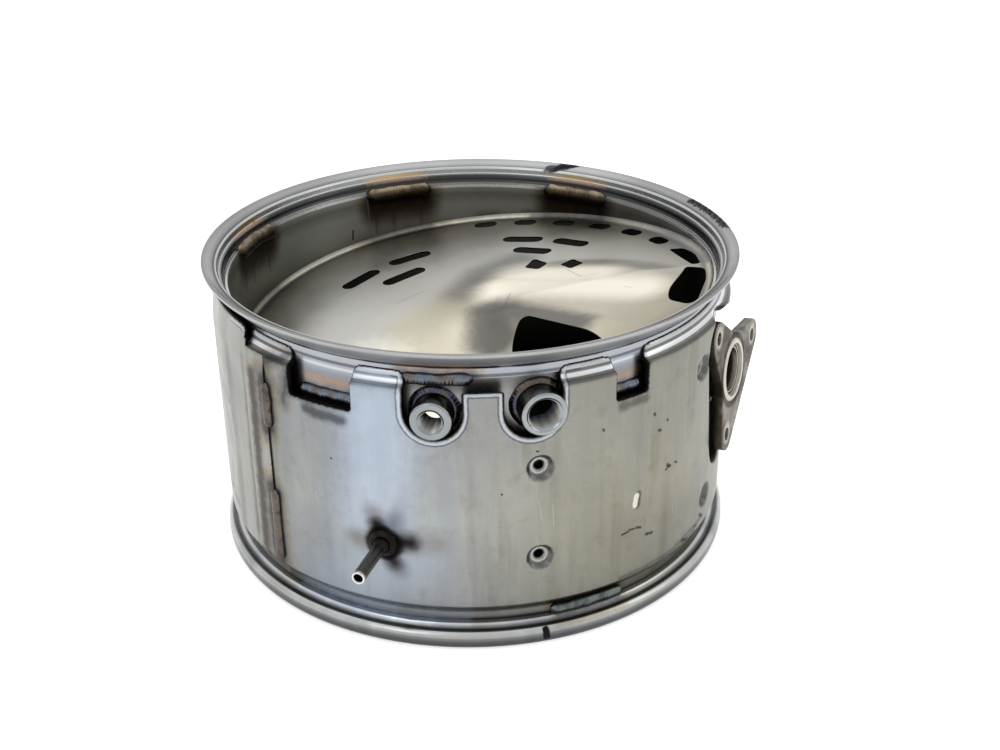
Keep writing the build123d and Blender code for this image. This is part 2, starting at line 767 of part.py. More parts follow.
# Stitch welds between the shields' foot and the outlet flange
with BuildPart() as foot_stitch_welds:
    for angle in foot_stitch_angles:
        with BuildSketch(section_plane(angle - foot_stitch_span / 2)):
            with BuildLine():
                Polyline(
                    (collar_outer, foot_bend - foot_run - bead_toe / 2),
                    (collar_outer + 0.9 * bead_throat, foot_bend - foot_run - bead_throat / 2),
                    (collar_outer + 1.1 * bead_throat, shield_foot),
                    (skirt_radius + bead_neck_reach, bead_neck_height),
                    (skirt_radius, shield_foot - piece_gap),
                    (skirt_radius, shield_foot),
                    (collar_outer, shield_foot),
                    close=True,
                )
            make_face()
        revolve(axis=Axis.Z, revolution_arc=foot_stitch_span)
foot_stitch_welds.part.label = "foot_stitch_welds"
export_step(foot_stitch_welds.part, "parts/foot_stitch_welds.step")

# Seam welds: one node for the front seam's pair, over the edge of the lapped strip
seam_weld_turn = bead_toe
front_stitches = [
    (lower_seam_stitch, lower_seam_stitch_length),
    (body_height - upper_seam_stitch_drop, upper_seam_stitch_length),
]
with BuildPart() as front_seam_welds:
    for bottom, length in front_stitches:
        with BuildSketch(Plane.XY.offset(bottom)):
            with Locations(polar(front_seam + seam_weld_turn, shield_radius)):
                Ellipse(seam_bead_reach, seam_bead_half_width, rotation=front_seam + seam_weld_turn)
        extrude(amount=length)
    Cylinder(shield_radius, 2 * body_height, mode=Mode.SUBTRACT)
    with BuildSketch(section_plane(strip_start)):
        with Locations((shield_radius, 0)):
            Rectangle(shield_wall, body_height, align=(Align.MIN, Align.MIN))
    revolve(axis=Axis.Z, revolution_arc=front_lap, mode=Mode.SUBTRACT)
front_seam_welds.part.label = "front_seam_welds"
export_step(front_seam_welds.part, "parts/front_seam_welds.step")

# One node for the rear seam's pair
with BuildPart() as rear_seam_welds:
    for bottom in (rear_lower_stitch, body_height - rear_upper_stitch_drop):
        with BuildSketch(Plane.XY.offset(bottom)):
            with Locations(polar(rear_seam, shield_radius)):
                Ellipse(seam_bead_reach, seam_bead_half_width, rotation=rear_seam)
        extrude(amount=rear_stitch_length)
    Cylinder(shield_radius, 2 * body_height, mode=Mode.SUBTRACT)
rear_seam_welds.part.label = "rear_seam_welds"
export_step(rear_seam_welds.part, "parts/rear_seam_welds.step")
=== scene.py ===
import bpy
import bmesh
import math
from mathutils import Matrix, Vector, noise


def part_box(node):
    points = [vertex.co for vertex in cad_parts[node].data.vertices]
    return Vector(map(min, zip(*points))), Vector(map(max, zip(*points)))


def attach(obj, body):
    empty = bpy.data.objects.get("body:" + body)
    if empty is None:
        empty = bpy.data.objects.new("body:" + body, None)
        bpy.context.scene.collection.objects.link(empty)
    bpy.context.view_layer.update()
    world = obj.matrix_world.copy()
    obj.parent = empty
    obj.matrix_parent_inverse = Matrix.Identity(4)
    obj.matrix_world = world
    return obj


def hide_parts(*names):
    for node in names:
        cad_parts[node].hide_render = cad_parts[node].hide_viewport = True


# The reactor stands on its outlet flange, with the can's axis on Z. Blender works in metres, and the
# sizes below are in millimetres, so every place goes through mm.
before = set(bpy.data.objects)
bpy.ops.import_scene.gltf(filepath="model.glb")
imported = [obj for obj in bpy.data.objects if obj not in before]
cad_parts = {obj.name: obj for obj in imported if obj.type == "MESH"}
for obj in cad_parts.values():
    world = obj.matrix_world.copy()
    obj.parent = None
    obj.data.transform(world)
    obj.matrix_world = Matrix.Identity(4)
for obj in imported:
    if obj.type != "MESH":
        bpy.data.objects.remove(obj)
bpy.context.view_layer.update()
mm = 0.001


# Camera, at the photograph's angle, for an image of 1000 x 750
image_width = 1000
focal_pixels = 1353.041
sensor_width = 36


def make_camera():
    place = Vector((0, -836.8, 519.4)) * mm
    target = Vector((18.395, 0, 99.595)) * mm
    roll = math.radians(-0.516)
    forward = (target - place).normalized()
    right = forward.cross(Vector((0, 0, 1))).normalized()
    up = right.cross(forward)
    turned_right = right * math.cos(roll) + up * math.sin(roll)
    turned_up = up * math.cos(roll) - right * math.sin(roll)
    data = bpy.data.cameras.new("camera")
    data.sensor_width = sensor_width
    data.lens = focal_pixels / image_width * sensor_width
    camera = bpy.data.objects.new("camera", data)
    turn = Matrix((turned_right, turned_up, -forward)).transposed().to_4x4()
    camera.matrix_world = Matrix.Translation(place) @ turn
    bpy.context.scene.collection.objects.link(camera)
    bpy.context.scene.camera = camera


# The part's sizes. Heights are along Z, radii are from the can's axis, and angles are in degrees,
# counter-clockwise from +X, so that the sensor bosses look out at about 270.
_, flange_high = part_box("inlet_flange")
body_height = flange_high.z / mm
flange_radius = flange_high.x / mm
can_radius = flange_radius - 14
bore_radius = can_radius - 1.5
skirt_radius = can_radius + 2
shield_radius = can_radius + 10
collar_radius = skirt_radius + 1.5
can_top = body_height - 16
flange_crease = body_height - 14
skirt_bottom = flange_crease - 26
skirt_relief_top = body_height - 20.5
relief_start, relief_end = 251, 292
shield_foot = 16.5
foot_bend = 29
collar_top = body_height - 18.5
collar_bend = body_height - 25.5
rear_bend = body_height - 35.5
rear_top = body_height - 16
front_seam = 223.3
front_lap = 6.3
strip_start = front_seam - front_lap
rear_seam = 43
front = 270
temperature_angle, temperature_drop = 262, 41.4
gas_angle, gas_drop = 283, 39.6
tap_angle, tap_height = 251, 70.6
inner_stitches = (60, 110, 161, 212, 263)
stitch_half = 8
outer_stitches = [(238.5, 14.5, skirt_bottom), (262.7, 14.5, skirt_relief_top), (303, 8.5, skirt_bottom)]


# Small helpers
def clamp(value, low=0.0, high=1.0):
    return min(high, max(low, value))


def smooth(value, low, high):
    """Rises smoothly from 0 at low to 1 at high."""
    part = clamp((value - low) / (high - low))
    return part * part * (3 - 2 * part)


def radial(angle, radius, height=0.0):
    """The place at this angle, radius and height."""
    turn = math.radians(angle)
    return Vector((radius * math.cos(turn), radius * math.sin(turn), height))


def arc_at(angle, radius=shield_radius):
    """Distance round the wrap from the front to this angle."""
    return math.radians(angle - front) * radius


def along(points, value):
    """The second coordinate of a line of points, read off at this first coordinate."""
    for (x0, y0), (x1, y1) in zip(points, points[1:]):
        if value <= x1:
            return y0 + (y1 - y0) * clamp((value - x0) / (x1 - x0))
    return points[-1][1]


def softened(points, value, reach=1.3, count=8):
    """The same, with the corners rounded over this reach."""
    total = sum(along(points, value + reach * (2 * n / count - 1)) for n in range(count + 1))
    return total / (count + 1)


def stops(low, high, coarse, fine, zones):
    """Places from low to high, close together inside the zones and further apart outside them."""
    places = [low]
    while places[-1] < high:
        here = places[-1]
        step = fine if any(start - coarse < here < end for start, end in zones) else coarse
        places.append(here + step)
    places[-1] = high
    return places


def rounded(corners, count=5):
    """A line with its corners rounded. A corner is its two coordinates and its radius."""
    line = []
    for index, (x, y, radius) in enumerate(corners):
        corner = Vector((x, y))
        if radius == 0 or index in (0, len(corners) - 1):
            line.append(corner)
            continue
        before = Vector(corners[index - 1][:2]) - corner
        after = Vector(corners[index + 1][:2]) - corner
        reach = min(radius, 0.48 * before.length, 0.48 * after.length)
        start = corner + before.normalized() * reach
        end = corner + after.normalized() * reach
        for step in range(count + 1):
            part = step / count
            line.append(start * (1 - part) ** 2 + corner * 2 * part * (1 - part) + end * part * part)
    return line


# Pieces
def new_piece(name, form, nodes, material, corner=35):
    """Makes a smooth-shaded piece of the object from a form in millimetres, in place of CAD nodes."""
    bmesh.ops.scale(form, vec=(mm, mm, mm), verts=form.verts)
    mesh = bpy.data.meshes.new(name)
    form.to_mesh(mesh)
    form.free()
    mesh.materials.append(material)
    mesh.polygons.foreach_set("use_smooth", [True] * len(mesh.polygons))
    mesh.set_sharp_from_angle(angle=math.radians(corner))
    piece = bpy.data.objects.new(name, mesh)
    bpy.context.scene.collection.objects.link(piece)
    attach(piece, "root")
    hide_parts(*nodes)


def grid(form, rows):
    """Faces between rows of places of equal length. Returns the rows of vertices."""
    lines = [[form.verts.new(place) for place in row] for row in rows]
    for below, above in zip(lines, lines[1:]):
        for n in range(len(below) - 1):
            form.faces.new((below[n], below[n + 1], above[n + 1], above[n]))
    return lines


def slope_of(distance, u, v, reach=0.05):
    """The direction in which the distance from the cuts grows."""
    across = distance(u + reach, v) - distance(u - reach, v)
    up = distance(u, v + reach) - distance(u, v - reach)
    size = math.hypot(across, up)
    if size < 1e-9:
        return 1.0, 0.0
    return across / size, up / size


edge_steps = 4
ring_reach = 0.4


def cut_sheet(columns, rows, distance, lip, snap):
    """A flat sheet whose edge is where distance is 0, with a rounded lip turned down along its edge.

    The lip is a list of (outward reach, depth) from the edge. The third coordinate is the depth.
    The attribute named edge holds each place's distance from the edge, and is negative on the lip.
    """
    form = bmesh.new()
    edge_gap = form.verts.layers.float.new("edge")
    lines = grid(form, [[(u, v, 0) for u in columns] for v in rows])
    gap = {vert: distance(vert.co.x, vert.co.y) for line in lines for vert in line}
    inside = [face for face in form.faces if all(gap[vert] < snap for vert in face.verts)]
    bmesh.ops.delete(form, geom=inside, context="FACES_ONLY")
    loose = [vert for vert in form.verts if not vert.link_faces]
    bmesh.ops.delete(form, geom=loose, context="VERTS")
    for vert in form.verts:
        vert[edge_gap] = gap[vert] if gap[vert] >= snap else 0
        if gap[vert] < snap:
            for _ in range(edge_steps):
                u, v = vert.co.x, vert.co.y
                across, up = slope_of(distance, u, v)
                off = distance(u, v)
                vert.co.x -= off * across
                vert.co.y -= off * up
    bmesh.ops.delete(form, geom=[edge for edge in form.edges if not edge.link_faces], context="EDGES")
    rim = [edge for edge in form.edges if edge.is_boundary]
    rings = {}
    for edge in rim:
        for vert in edge.verts:
            if vert in rings:
                continue
            u, v = vert.co.x, vert.co.y
            across, up = slope_of(distance, u, v, ring_reach)
            rings[vert] = [vert]
            for reach, depth in lip:
                turned_in = form.verts.new((u - across * reach, v - up * reach, depth))
                turned_in[edge_gap] = depth
                rings[vert].append(turned_in)
    for edge in rim:
        loop = edge.link_loops[0]
        near, far = rings[loop.vert], rings[loop.link_loop_next.vert]
        for n in range(len(lip)):
            form.faces.new((far[n], near[n], near[n + 1], far[n + 1]))
    return form


def bend(form, place):
    """Moves every vertex of a flat sheet to its place on the object."""
    for vert in form.verts:
        vert.co = place(vert.co.x, vert.co.y, vert.co.z)
# Distances to a cut in a flat sheet: positive on the metal, negative inside the cut
def box_gap(u, v, centre, half, corner):
    across = abs(u - centre[0]) - half[0] + corner
    up = abs(v - centre[1]) - half[1] + corner
    return math.hypot(max(across, 0), max(up, 0)) + min(max(across, up), 0) - corner


def slot_gap(u, v, start, end, radius):
    way = (end[0] - start[0], end[1] - start[1])
    part = ((u - start[0]) * way[0] + (v - start[1]) * way[1]) / (way[0] ** 2 + way[1] ** 2)
    part = clamp(part)
    return math.hypot(u - start[0] - way[0] * part, v - start[1] - way[1] * part) - radius


def window_gap(u, v, corners, corner):
    """Distance to a window whose corners run counter-clockwise and turn one way only."""
    total, inner = 0.0, -1e9
    for (x0, y0), (x1, y1) in zip(corners, corners[1:] + corners[:1]):
        length = math.hypot(x1 - x0, y1 - y0)
        off = ((u - x0) * (y1 - y0) - (v - y0) * (x1 - x0)) / length
        inner = max(inner, off)
        total += max(off + corner, 0) ** 2
    return math.sqrt(total) - corner if total > 0 else inner


# Doser mount's plane: a place on its face, and the ways across, up and out
doser_out = radial(-27.5, 1)
doser_across = radial(62.5, 1)
doser_tilt = math.radians(4.5)
doser_normal = doser_out * math.cos(doser_tilt) + Vector((0, 0, math.sin(doser_tilt)))
doser_up = doser_normal.cross(doser_across)
doser_place = doser_out * (can_radius + 11.5) + doser_across * 37.4 + Vector((0, 0, body_height - 76.2))
lobe_places = [radial(9.7 + turn, 43).xy for turn in (0, -120, 120)]


# Front shield: a wrap with two notches, two U cut-outs, four dimples and the doser's window
shield_points = [(282.7, body_height - 77.3), (282.8, 61.3), (325.9, body_height - 50.1), (331.1, 50.3)]
front_profile = [
    (shield_foot, collar_radius), (foot_bend - 6.5, collar_radius), (foot_bend, shield_radius),
    (collar_bend - 0.3, shield_radius), (collar_bend + 2.4, collar_radius + 1.2),
    (collar_bend + 3.4, collar_radius + 1.8), (collar_bend + 4.6, collar_radius + 0.6),
    (collar_top, collar_radius),
]
rear_profile = [
    (shield_foot, collar_radius), (foot_bend - 6.5, collar_radius), (foot_bend, shield_radius),
    (rear_bend, shield_radius), (rear_top, shield_radius - 2.5),
]
notches = [(238, 48), (302.9, 27)]
notch_bottom = body_height - 46
sensor_slots = [262, 281.4]
slot_radius = 18.8
slot_middle = body_height - 39.5
bridge_bottom = body_height - 27
tab_corner = 4
dimple_floor, dimple_radius, dimple_depth, point_hole = 5.7, 9.2, 3.5, 4.3
waviness = 0.22


def flare(v):
    """How far a tab's rounded corner has drawn back at this height."""
    rise = clamp(v - (collar_top - tab_corner), 0, tab_corner)
    return tab_corner - math.sqrt(tab_corner**2 - rise**2)


def front_gap(u, v):
    gap = min(u - arc_at(strip_start), arc_at(360 + rear_seam) - u, v - shield_foot, collar_top - v)
    for angle, width in notches:
        middle = arc_at(angle)
        half = width / 2
        gap = min(gap, box_gap(u, v, (middle, notch_bottom + 60), (half, 60), tab_corner))
        if v > collar_top - tab_corner:
            gap = min(gap, abs(u - middle) - half - flare(v))
    for angle in sensor_slots:
        middle = arc_at(angle)
        gap = min(gap, slot_gap(u, v, (middle, slot_middle), (middle, slot_middle + 60), slot_radius))
        if v > collar_top - tab_corner:
            gap = min(gap, abs(u - middle) - slot_radius - flare(v))
    bridge = arc_at(sum(sensor_slots) / 2)
    gap = min(gap, box_gap(u, v, (bridge, bridge_bottom + 30), (slot_radius * 0.7, 30), 0.5))
    for angle, height in shield_points:
        gap = min(gap, math.hypot(u - arc_at(angle), v - height) - point_hole)
    place = radial(front + math.degrees(u / shield_radius), shield_radius, v) - doser_place
    if place.dot(doser_normal) > -45:
        corners = [tuple(lobe_places[0]), tuple(lobe_places[2]), tuple(lobe_places[1])]
        gap = min(gap, window_gap(place.dot(doser_across), place.dot(doser_up), corners, 18) - 23)
    return gap


def wrap_place(profile, dents):
    """A function that bends a flat sheet round the can and presses its dents in."""
    shape = {}

    def place(u, v, depth):
        if v not in shape:
            radius = softened(profile, v)
            shape[v] = radius, (softened(profile, v + 0.1) - softened(profile, v - 0.1)) / 0.2
        radius, lean = shape[v]
        for middle, height, floor, rim, amount in dents:
            depth -= amount * (1 - smooth(math.hypot(u - middle, v - height), floor, rim))
        ripple = noise.noise(Vector((u / 55, v / 40, 7.3)))
        calm = smooth(v, foot_bend, foot_bend + 15) * smooth(-v, -rear_bend, 15 - rear_bend)
        depth += waviness * ripple * calm
        tilt = math.hypot(1, lean)
        angle = front + math.degrees(u / shield_radius)
        return radial(angle, radius + depth / tilt, v - depth * lean / tilt)

    return place


edge_lip = [(0.5, -0.2), (0.95, -0.7), (1.1, -2.4)]
slot_lip = [(0.5, -0.15), (1.5, -1.0), (2.0, -1.8), (2.1, -3.6)]


def make_front_shield(material):
    dimple_zone = dimple_radius + 1
    columns = stops(
        arc_at(strip_start), arc_at(360 + rear_seam), 2.6, 1.15,
        [(arc_at(226), arc_at(234)), (arc_at(244), arc_at(312)),
         (arc_at(325.9) - dimple_zone, arc_at(331.1) + dimple_zone)],
    )
    zones = [(shield_foot - 1, foot_bend + 2), (notch_bottom - 2, collar_top + 1)]
    zones += [(height - dimple_zone, height + dimple_zone) for angle, height in shield_points]
    rows = stops(shield_foot, collar_top, 2.4, 1.05, zones)
    form = cut_sheet(columns, rows, front_gap, slot_lip, 0.35)
    dimple = dimple_floor, dimple_radius, dimple_depth
    dents = [(arc_at(angle), height, *dimple) for angle, height in shield_points]
    bend(form, wrap_place(front_profile, dents))
    new_piece("front_wrap", form, ["front_shield"], material)


# Rear shield, with the strip that laps over the front shield's edge
def rear_gap(u, v):
    gap = min(u - arc_at(rear_seam), arc_at(front_seam) - u, v - shield_foot)
    top = rear_top if u < arc_at(strip_start) else collar_bend - 1
    corner = 6
    over = clamp(u - (arc_at(strip_start - 1) - corner), 0, corner)
    round_off = corner - math.sqrt(corner**2 - over**2)
    return min(gap, top - round_off - v) if u < arc_at(strip_start) else min(gap, top - v)


def make_rear_shield(material):
    lap_zone = (arc_at(strip_start - 6), arc_at(front_seam))
    columns = stops(arc_at(rear_seam), arc_at(front_seam), 3.2, 0.9, [lap_zone])
    zones = [(shield_foot - 1, foot_bend + 2), (rear_bend - 3, rear_top + 1)]
    rows = stops(shield_foot, rear_top, 3.0, 1.0, zones)
    form = cut_sheet(columns, rows, rear_gap, edge_lip, 0.3)
    wrap = wrap_place(rear_profile, [])

    def place(u, v, depth):
        lap = smooth(u, arc_at(strip_start - 1.4), arc_at(strip_start))
        crease = -0.5 * math.exp(-(((u - arc_at(strip_start - 1.6)) / 1.6) ** 2))
        bow = 176 + 10 * math.sin((v - 30) / 38)
        crease -= 0.7 * math.exp(-(((u - arc_at(bow + 18)) / 5) ** 2))
        fade = smooth(v, foot_bend, foot_bend + 6)
        return wrap(u, v, depth + (1.55 * lap + crease) * fade)

    bend(form, place)
    new_piece("rear_wrap", form, ["rear_shield"], material)


# Flanges: a rounded section swept round the axis
def round_faces(form, rows, turned=False):
    """Faces between neighbouring rows of vertices, each row closing on itself."""
    for near, far in zip(rows, rows[1:]):
        for n in range(len(near)):
            m = (n + 1) % len(near)
            if turned:
                form.faces.new((near[n], far[n], far[m], near[m]))
            else:
                form.faces.new((near[n], near[m], far[m], far[n]))


def swept(line, columns, shape=None):
    form = bmesh.new()
    rows = []
    for number in range(columns):
        angle = 360 * number / columns
        rows.append([form.verts.new(radial(angle, *(shape(p.x, p.y, angle) if shape else p))) for p in line])
    round_faces(form, rows + rows[:1], turned=True)
    return form


def make_inlet_flange(material):
    line = rounded([
        (can_radius + 0.3, skirt_bottom, 0), (skirt_radius, skirt_bottom, 0.7),
        (skirt_radius, (skirt_bottom + skirt_relief_top) / 2, 0.1), (skirt_radius, skirt_relief_top + 1, 0.1),
        (skirt_radius, flange_crease, 1.2),
        (flange_radius - 0.3, body_height - 2.6, 1.3), (flange_radius, body_height - 0.6, 1.3),
        (flange_radius - 1.4, body_height, 1.0), (flange_radius - 3.0, body_height - 1.2, 1.0),
        (flange_radius - 7.6, body_height - 4.4, 0.6), (flange_radius - 8.8, body_height - 3.5, 0.7),
        (flange_radius - 9.9, body_height - 4.8, 0.7), (flange_radius - 10.3, body_height - 8.6, 0.6),
        (flange_radius - 12.2, body_height - 9.0, 0.7), (flange_radius - 12.9, body_height - 10.8, 0.6),
        (can_radius + 0.7, flange_crease + 0.9, 0.6), (can_radius + 0.3, flange_crease, 0.3),
        (can_radius + 0.3, skirt_relief_top + 1, 0),
    ])

    def relief(radius, height, angle):
        inside = smooth(angle, relief_start, relief_start + 1.6)
        inside *= smooth(-angle, -relief_end, 1.6 - relief_end)
        return radius, max(height, skirt_bottom + (skirt_relief_top - skirt_bottom) * inside)

    form = swept(line, 480, relief)
    new_piece("inlet_ring", form, ["inlet_flange"], material)


def make_outlet_flange(material):
    line = rounded([
        (can_radius + 0.3, 37, 0), (skirt_radius, 37, 0.5), (skirt_radius, 16.4, 0.6),
        (skirt_radius + 2.0, 15.2, 0.6), (skirt_radius + 4.4, 15.0, 1.2), (skirt_radius + 5.6, 13.0, 1.0),
        (skirt_radius + 6.6, 11.9, 0.8), (skirt_radius + 9.4, 12.0, 1.4), (flange_radius - 0.2, 9.6, 1.6),
        (flange_radius, 3.4, 2.0), (flange_radius - 2.4, 0, 2.2), (flange_radius - 6, 0, 1.0),
        (can_radius + 0.3, 9, 0),
    ])
    form = swept(line, 420)
    new_piece("outlet_ring", form, ["outlet_flange"], material)


# Inlet baffle: a pressed helical plate that falls round the can, with a riser and a round plateau
def rim_height(angle):
    top = body_height - 18
    foot = top - 0.305 * 270
    peak = body_height - 20.5
    if angle <= 270:
        return top - 0.305 * angle
    if angle < 320:
        return foot + (peak - foot) * smooth(angle, 270, 320)
    return peak + (top - peak) * (angle - 320) / 40


def baffle_height(x, y):
    radius = math.hypot(x, y)
    angle = math.degrees(math.atan2(y, x)) % 360
    hub = body_height - 50
    reach = min(1, radius / bore_radius) * (1 - math.exp(-((radius / 18) ** 2)))
    height = hub + (rim_height(angle) - hub) * reach
    inside = 1 - smooth(math.hypot(x - 40, y + 50), 87, 113)
    beside = smooth(angle, 290, 320) if angle > 180 else 1 - smooth(angle, 60, 110)
    between = smooth(radius, 8, 36) * (1 - smooth(radius, bore_radius - 12, bore_radius))
    height += 3 * inside * beside * between
    roll = clamp((radius - (bore_radius - 4.5)) / 4.3)
    return height + 3.6 * (1 - math.sqrt(1 - 0.98 * roll * roll))


def baffle_slots():
    """The baffle's openings, as functions of x and y."""
    cuts = []
    ovals = [(11.5, 25.5 + 12 * number, 17.5, 10) for number in range(6)]
    longs = [(43.5, 70.5, 31, 10.2), (43.5, 51, 30, 10.2), (63, 62.5, 30, 10.2)]
    slanted = [(52, 138, 34, 11), (50, 114.5, 33, 11), (76, 125.5, 35, 11)]
    for inset, angle, length, width in ovals + longs + slanted:
        middle = radial(angle, bore_radius - inset)
        way = radial(angle + 90, (length - width) / 2)
        cuts.append((slot_gap, (middle - way).xy, (middle + way).xy, width / 2))
    for inset, angle in [(86.5, 51), (75.5, 33)]:
        middle = radial(angle, bore_radius - inset)
        ways = [radial(angle + turn, 10.4) for turn in (45, 135, 225, 315)]
        cuts.append((window_gap, [(middle.x + way.x * 0.84, middle.y + way.y * 1.32) for way in ways], 3))
    large = [
        (-25.1, 22.6), (-27.1, 10.1), (-23.7, 5.5), (-8.1, 3.9), (-3.3, 5.2), (-0.4, 16.5), (-18.6, 27.6),
    ]
    small = [(-0.2, 12), (-0.2, 6.5), (8.6, 5), (14.5, 7.2), (17.2, 15.6)]
    for corners, corner in [(large, 3), (small, 2)]:
        places = [tuple(radial(angle, bore_radius - inset).xy) for angle, inset in corners]
        cuts.append((window_gap, places, corner))
    primary = [(25, -118), (85, -118), (78, -85), (33, -34), (25, -45)]
    cuts.append((window_gap, primary, 7))
    return cuts


def make_baffle(material):
    cuts = baffle_slots()

    def gap(x, y):
        nearest = bore_radius - 0.2 - math.hypot(x, y)
        for cut, *sizes in cuts:
            nearest = min(nearest, cut(x, y, *sizes))
        return nearest

    places = stops(-bore_radius, bore_radius, 1.5, 1.5, [])
    form = cut_sheet(places, places, gap, [(0.15, -0.3), (0.2, -1.0)], 0.45)
    bend(form, lambda x, y, depth: Vector((x, y, baffle_height(x, y) + depth)))
    new_piece("baffle_plate", form, ["inlet_baffle"], material)


# Weld beads: a rippled, tapered roll of metal along a line
def bead(form, spine, length, width, height, pitch=2.1, seed=0.0, closed=False, sides=12):
    """spine(part) gives the middle, the way out and the way across at this part of the length."""
    count = max(12, round(length / 0.6))
    rows = []
    for step in range(count + (0 if closed else 1)):
        part = step / count
        middle, out, across = spine(part)
        place = part * length
        taper = 1.0 if closed else min(1, math.sqrt(max(0, smooth(min(place, length - place), -0.3, width))))
        swell = 1 + 0.16 * noise.noise(Vector((place / 7, seed, 0)))
        rise = 1 + 0.22 * noise.noise(Vector((place / 5, seed, 4)))
        row = []
        for side in range(sides + 1):
            turn = math.pi * side / sides
            lateral = -math.cos(turn)
            phase = place / pitch + 0.5 * lateral * lateral + 0.2 * noise.noise(Vector((place / 4, seed, 9)))
            ripple = 0.82 + 0.18 * abs(math.sin(math.pi * phase)) ** 0.6
            lift = height * math.sin(turn) ** 0.8 * rise * ripple * taper
            wide = lateral * width * swell * (0.25 + 0.75 * taper)
            row.append(middle + across * wide + out * (lift - 0.25))
        rows.append(row)
    if closed:
        rows.append(rows[0])
    grid(form, rows)


def stitch(form, angle, span, radius, height, tilt, width, thick, seed):
    """A bead round the axis. tilt turns its way out from outward (0) to upward (90) or inward (180)."""
    lean = math.radians(tilt)

    def spine(part):
        here = angle + span * (part - 0.5)
        wobble = 0.5 * noise.noise(Vector((part * 3, seed, 2)))
        out = radial(here, math.cos(lean), math.sin(lean))
        across = radial(here, -math.sin(lean), math.cos(lean))
        return radial(here, radius, height) + across * wobble, out, across

    bead(form, spine, math.radians(span) * radius, width, thick, seed=seed)


def upright(form, angle, radius, low, length, width, thick, seed):
    def spine(part):
        wobble = 0.4 * noise.noise(Vector((part * 4, seed, 2)))
        here = angle + math.degrees(wobble / radius)
        return radial(here, radius, low + length * part), radial(here, 1), radial(here + 90, 1)

    bead(form, spine, length, width, thick, seed=seed)


def collar_bead(form, angle, height, surface, radius, width, thick, seed):
    """A bead round a boss or tube that stands on a cylinder at this angle and height."""
    def spine(part):
        turn = math.tau * part
        side, up = radius * math.cos(turn), radius * math.sin(turn)
        here = angle + math.degrees(math.asin(side / surface))
        away = radial(angle + 90, math.cos(turn), math.sin(turn))
        out = (radial(here, 1) + away * 0.9).normalized()
        way = radial(angle + 90, -math.sin(turn), math.cos(turn))
        return radial(here, surface, height + up), out, way.cross(out)

    bead(form, spine, math.tau * radius, width, thick, seed=seed, closed=True)


def make_welds(finish):
    form = bmesh.new()
    for angle in inner_stitches:
        stitch(form, angle, 18.5, bore_radius - 0.2, can_top - 1.8, 150, 5.2, 3.7, angle)
    new_piece("inner_beads", form, ["inner_stitch_welds"], finish["inner bead"])
    form = bmesh.new()
    for angle, span, edge in outer_stitches:
        stitch(form, angle, span, skirt_radius - 0.4, edge - 1.0, -12, 4.2, 3.0, angle)
    new_piece("outer_beads", form, ["outer_stitch_welds"], finish["outer bead"])
    form = bmesh.new()
    for angle in (294.5, 54.5, 174.5):
        stitch(form, angle, 17.5, collar_radius + 0.7, shield_foot + 0.8, -8, 4.0, 3.0, angle)
    new_piece("foot_beads", form, ["foot_stitch_welds"], finish["foot bead"])
    form = bmesh.new()
    for low, length in [(32, 51), (body_height - 73, 30)]:
        upright(form, front_seam + 0.5, shield_radius + 0.6, low, length, 3.4, 2.6, low)
    new_piece("seam_beads", form, ["front_seam_welds"], finish["seam bead"])
    form = bmesh.new()
    for low in (45, body_height - 75):
        upright(form, rear_seam, shield_radius, low, 30, 3.4, 2.4, low + 5)
    new_piece("rear_seam_beads", form, ["rear_seam_welds"], finish["seam bead"])
    form = bmesh.new()
    collar_bead(form, temperature_angle, body_height - temperature_drop, can_radius, 12.6, 3.4, 2.6, 1)
    collar_bead(form, gas_angle, body_height - gas_drop, can_radius, 14.1, 3.4, 2.6, 2)
    new_piece("boss_beads", form, ["boss_welds"], finish["boss bead"])
    form = bmesh.new()
    collar_bead(form, tap_angle, tap_height, shield_radius, 6.6, 3.2, 2.8, 3)
    new_piece("tap_bead", form, ["tap_weld"], finish["tap bead"])


# Round pieces that stand out of the wall: rows of (radius, reach) about an axis through the can's own
def turns_of(columns):
    return [math.tau * column / columns for column in range(columns)]


def standing(angle, height, line, columns, thread=None):
    form = bmesh.new()
    side, up = radial(angle + 90, 1), Vector((0, 0, 1))
    rows = []
    for radius, reach in line:
        row = []
        for turn in turns_of(columns):
            wide = thread(radius, reach, turn) if thread else radius
            way = side * wide * math.cos(turn) + up * wide * math.sin(turn)
            row.append(form.verts.new(radial(angle, reach, height) + way))
        rows.append(row)
    round_faces(form, rows)
    return form


def make_boss(name, node, angle, drop, radius, bore, material):
    face = can_radius + 16
    foot = can_radius - 1.5
    pitch = 1.5
    depth = 0.8

    def thread(wide, reach, turn):
        if wide > bore + 0.01 or reach > face - 1.7:
            return wide
        part = (reach / pitch + turn / math.tau) % 1
        return wide + depth * clamp((0.44 - abs(part - 0.5)) / 0.3)

    count = round((face - 1.6 - foot) / 0.125)
    line = [(bore, foot + n * (face - 1.6 - foot) / count) for n in range(count + 1)]
    line += rounded([
        (bore + 0.9, face - 1.1, 0), (bore + 1.6, face - 0.2, 0.3), (bore + 2.1, face, 0.3),
        (radius - 1.0, face, 0.5), (radius, face - 1.0, 0.6), (radius, foot - 2, 0),
    ], 3)
    form = standing(angle, body_height - drop, line, 72, thread)
    bmesh.ops.reverse_faces(form, faces=form.faces)
    new_piece(name, form, [node], material)


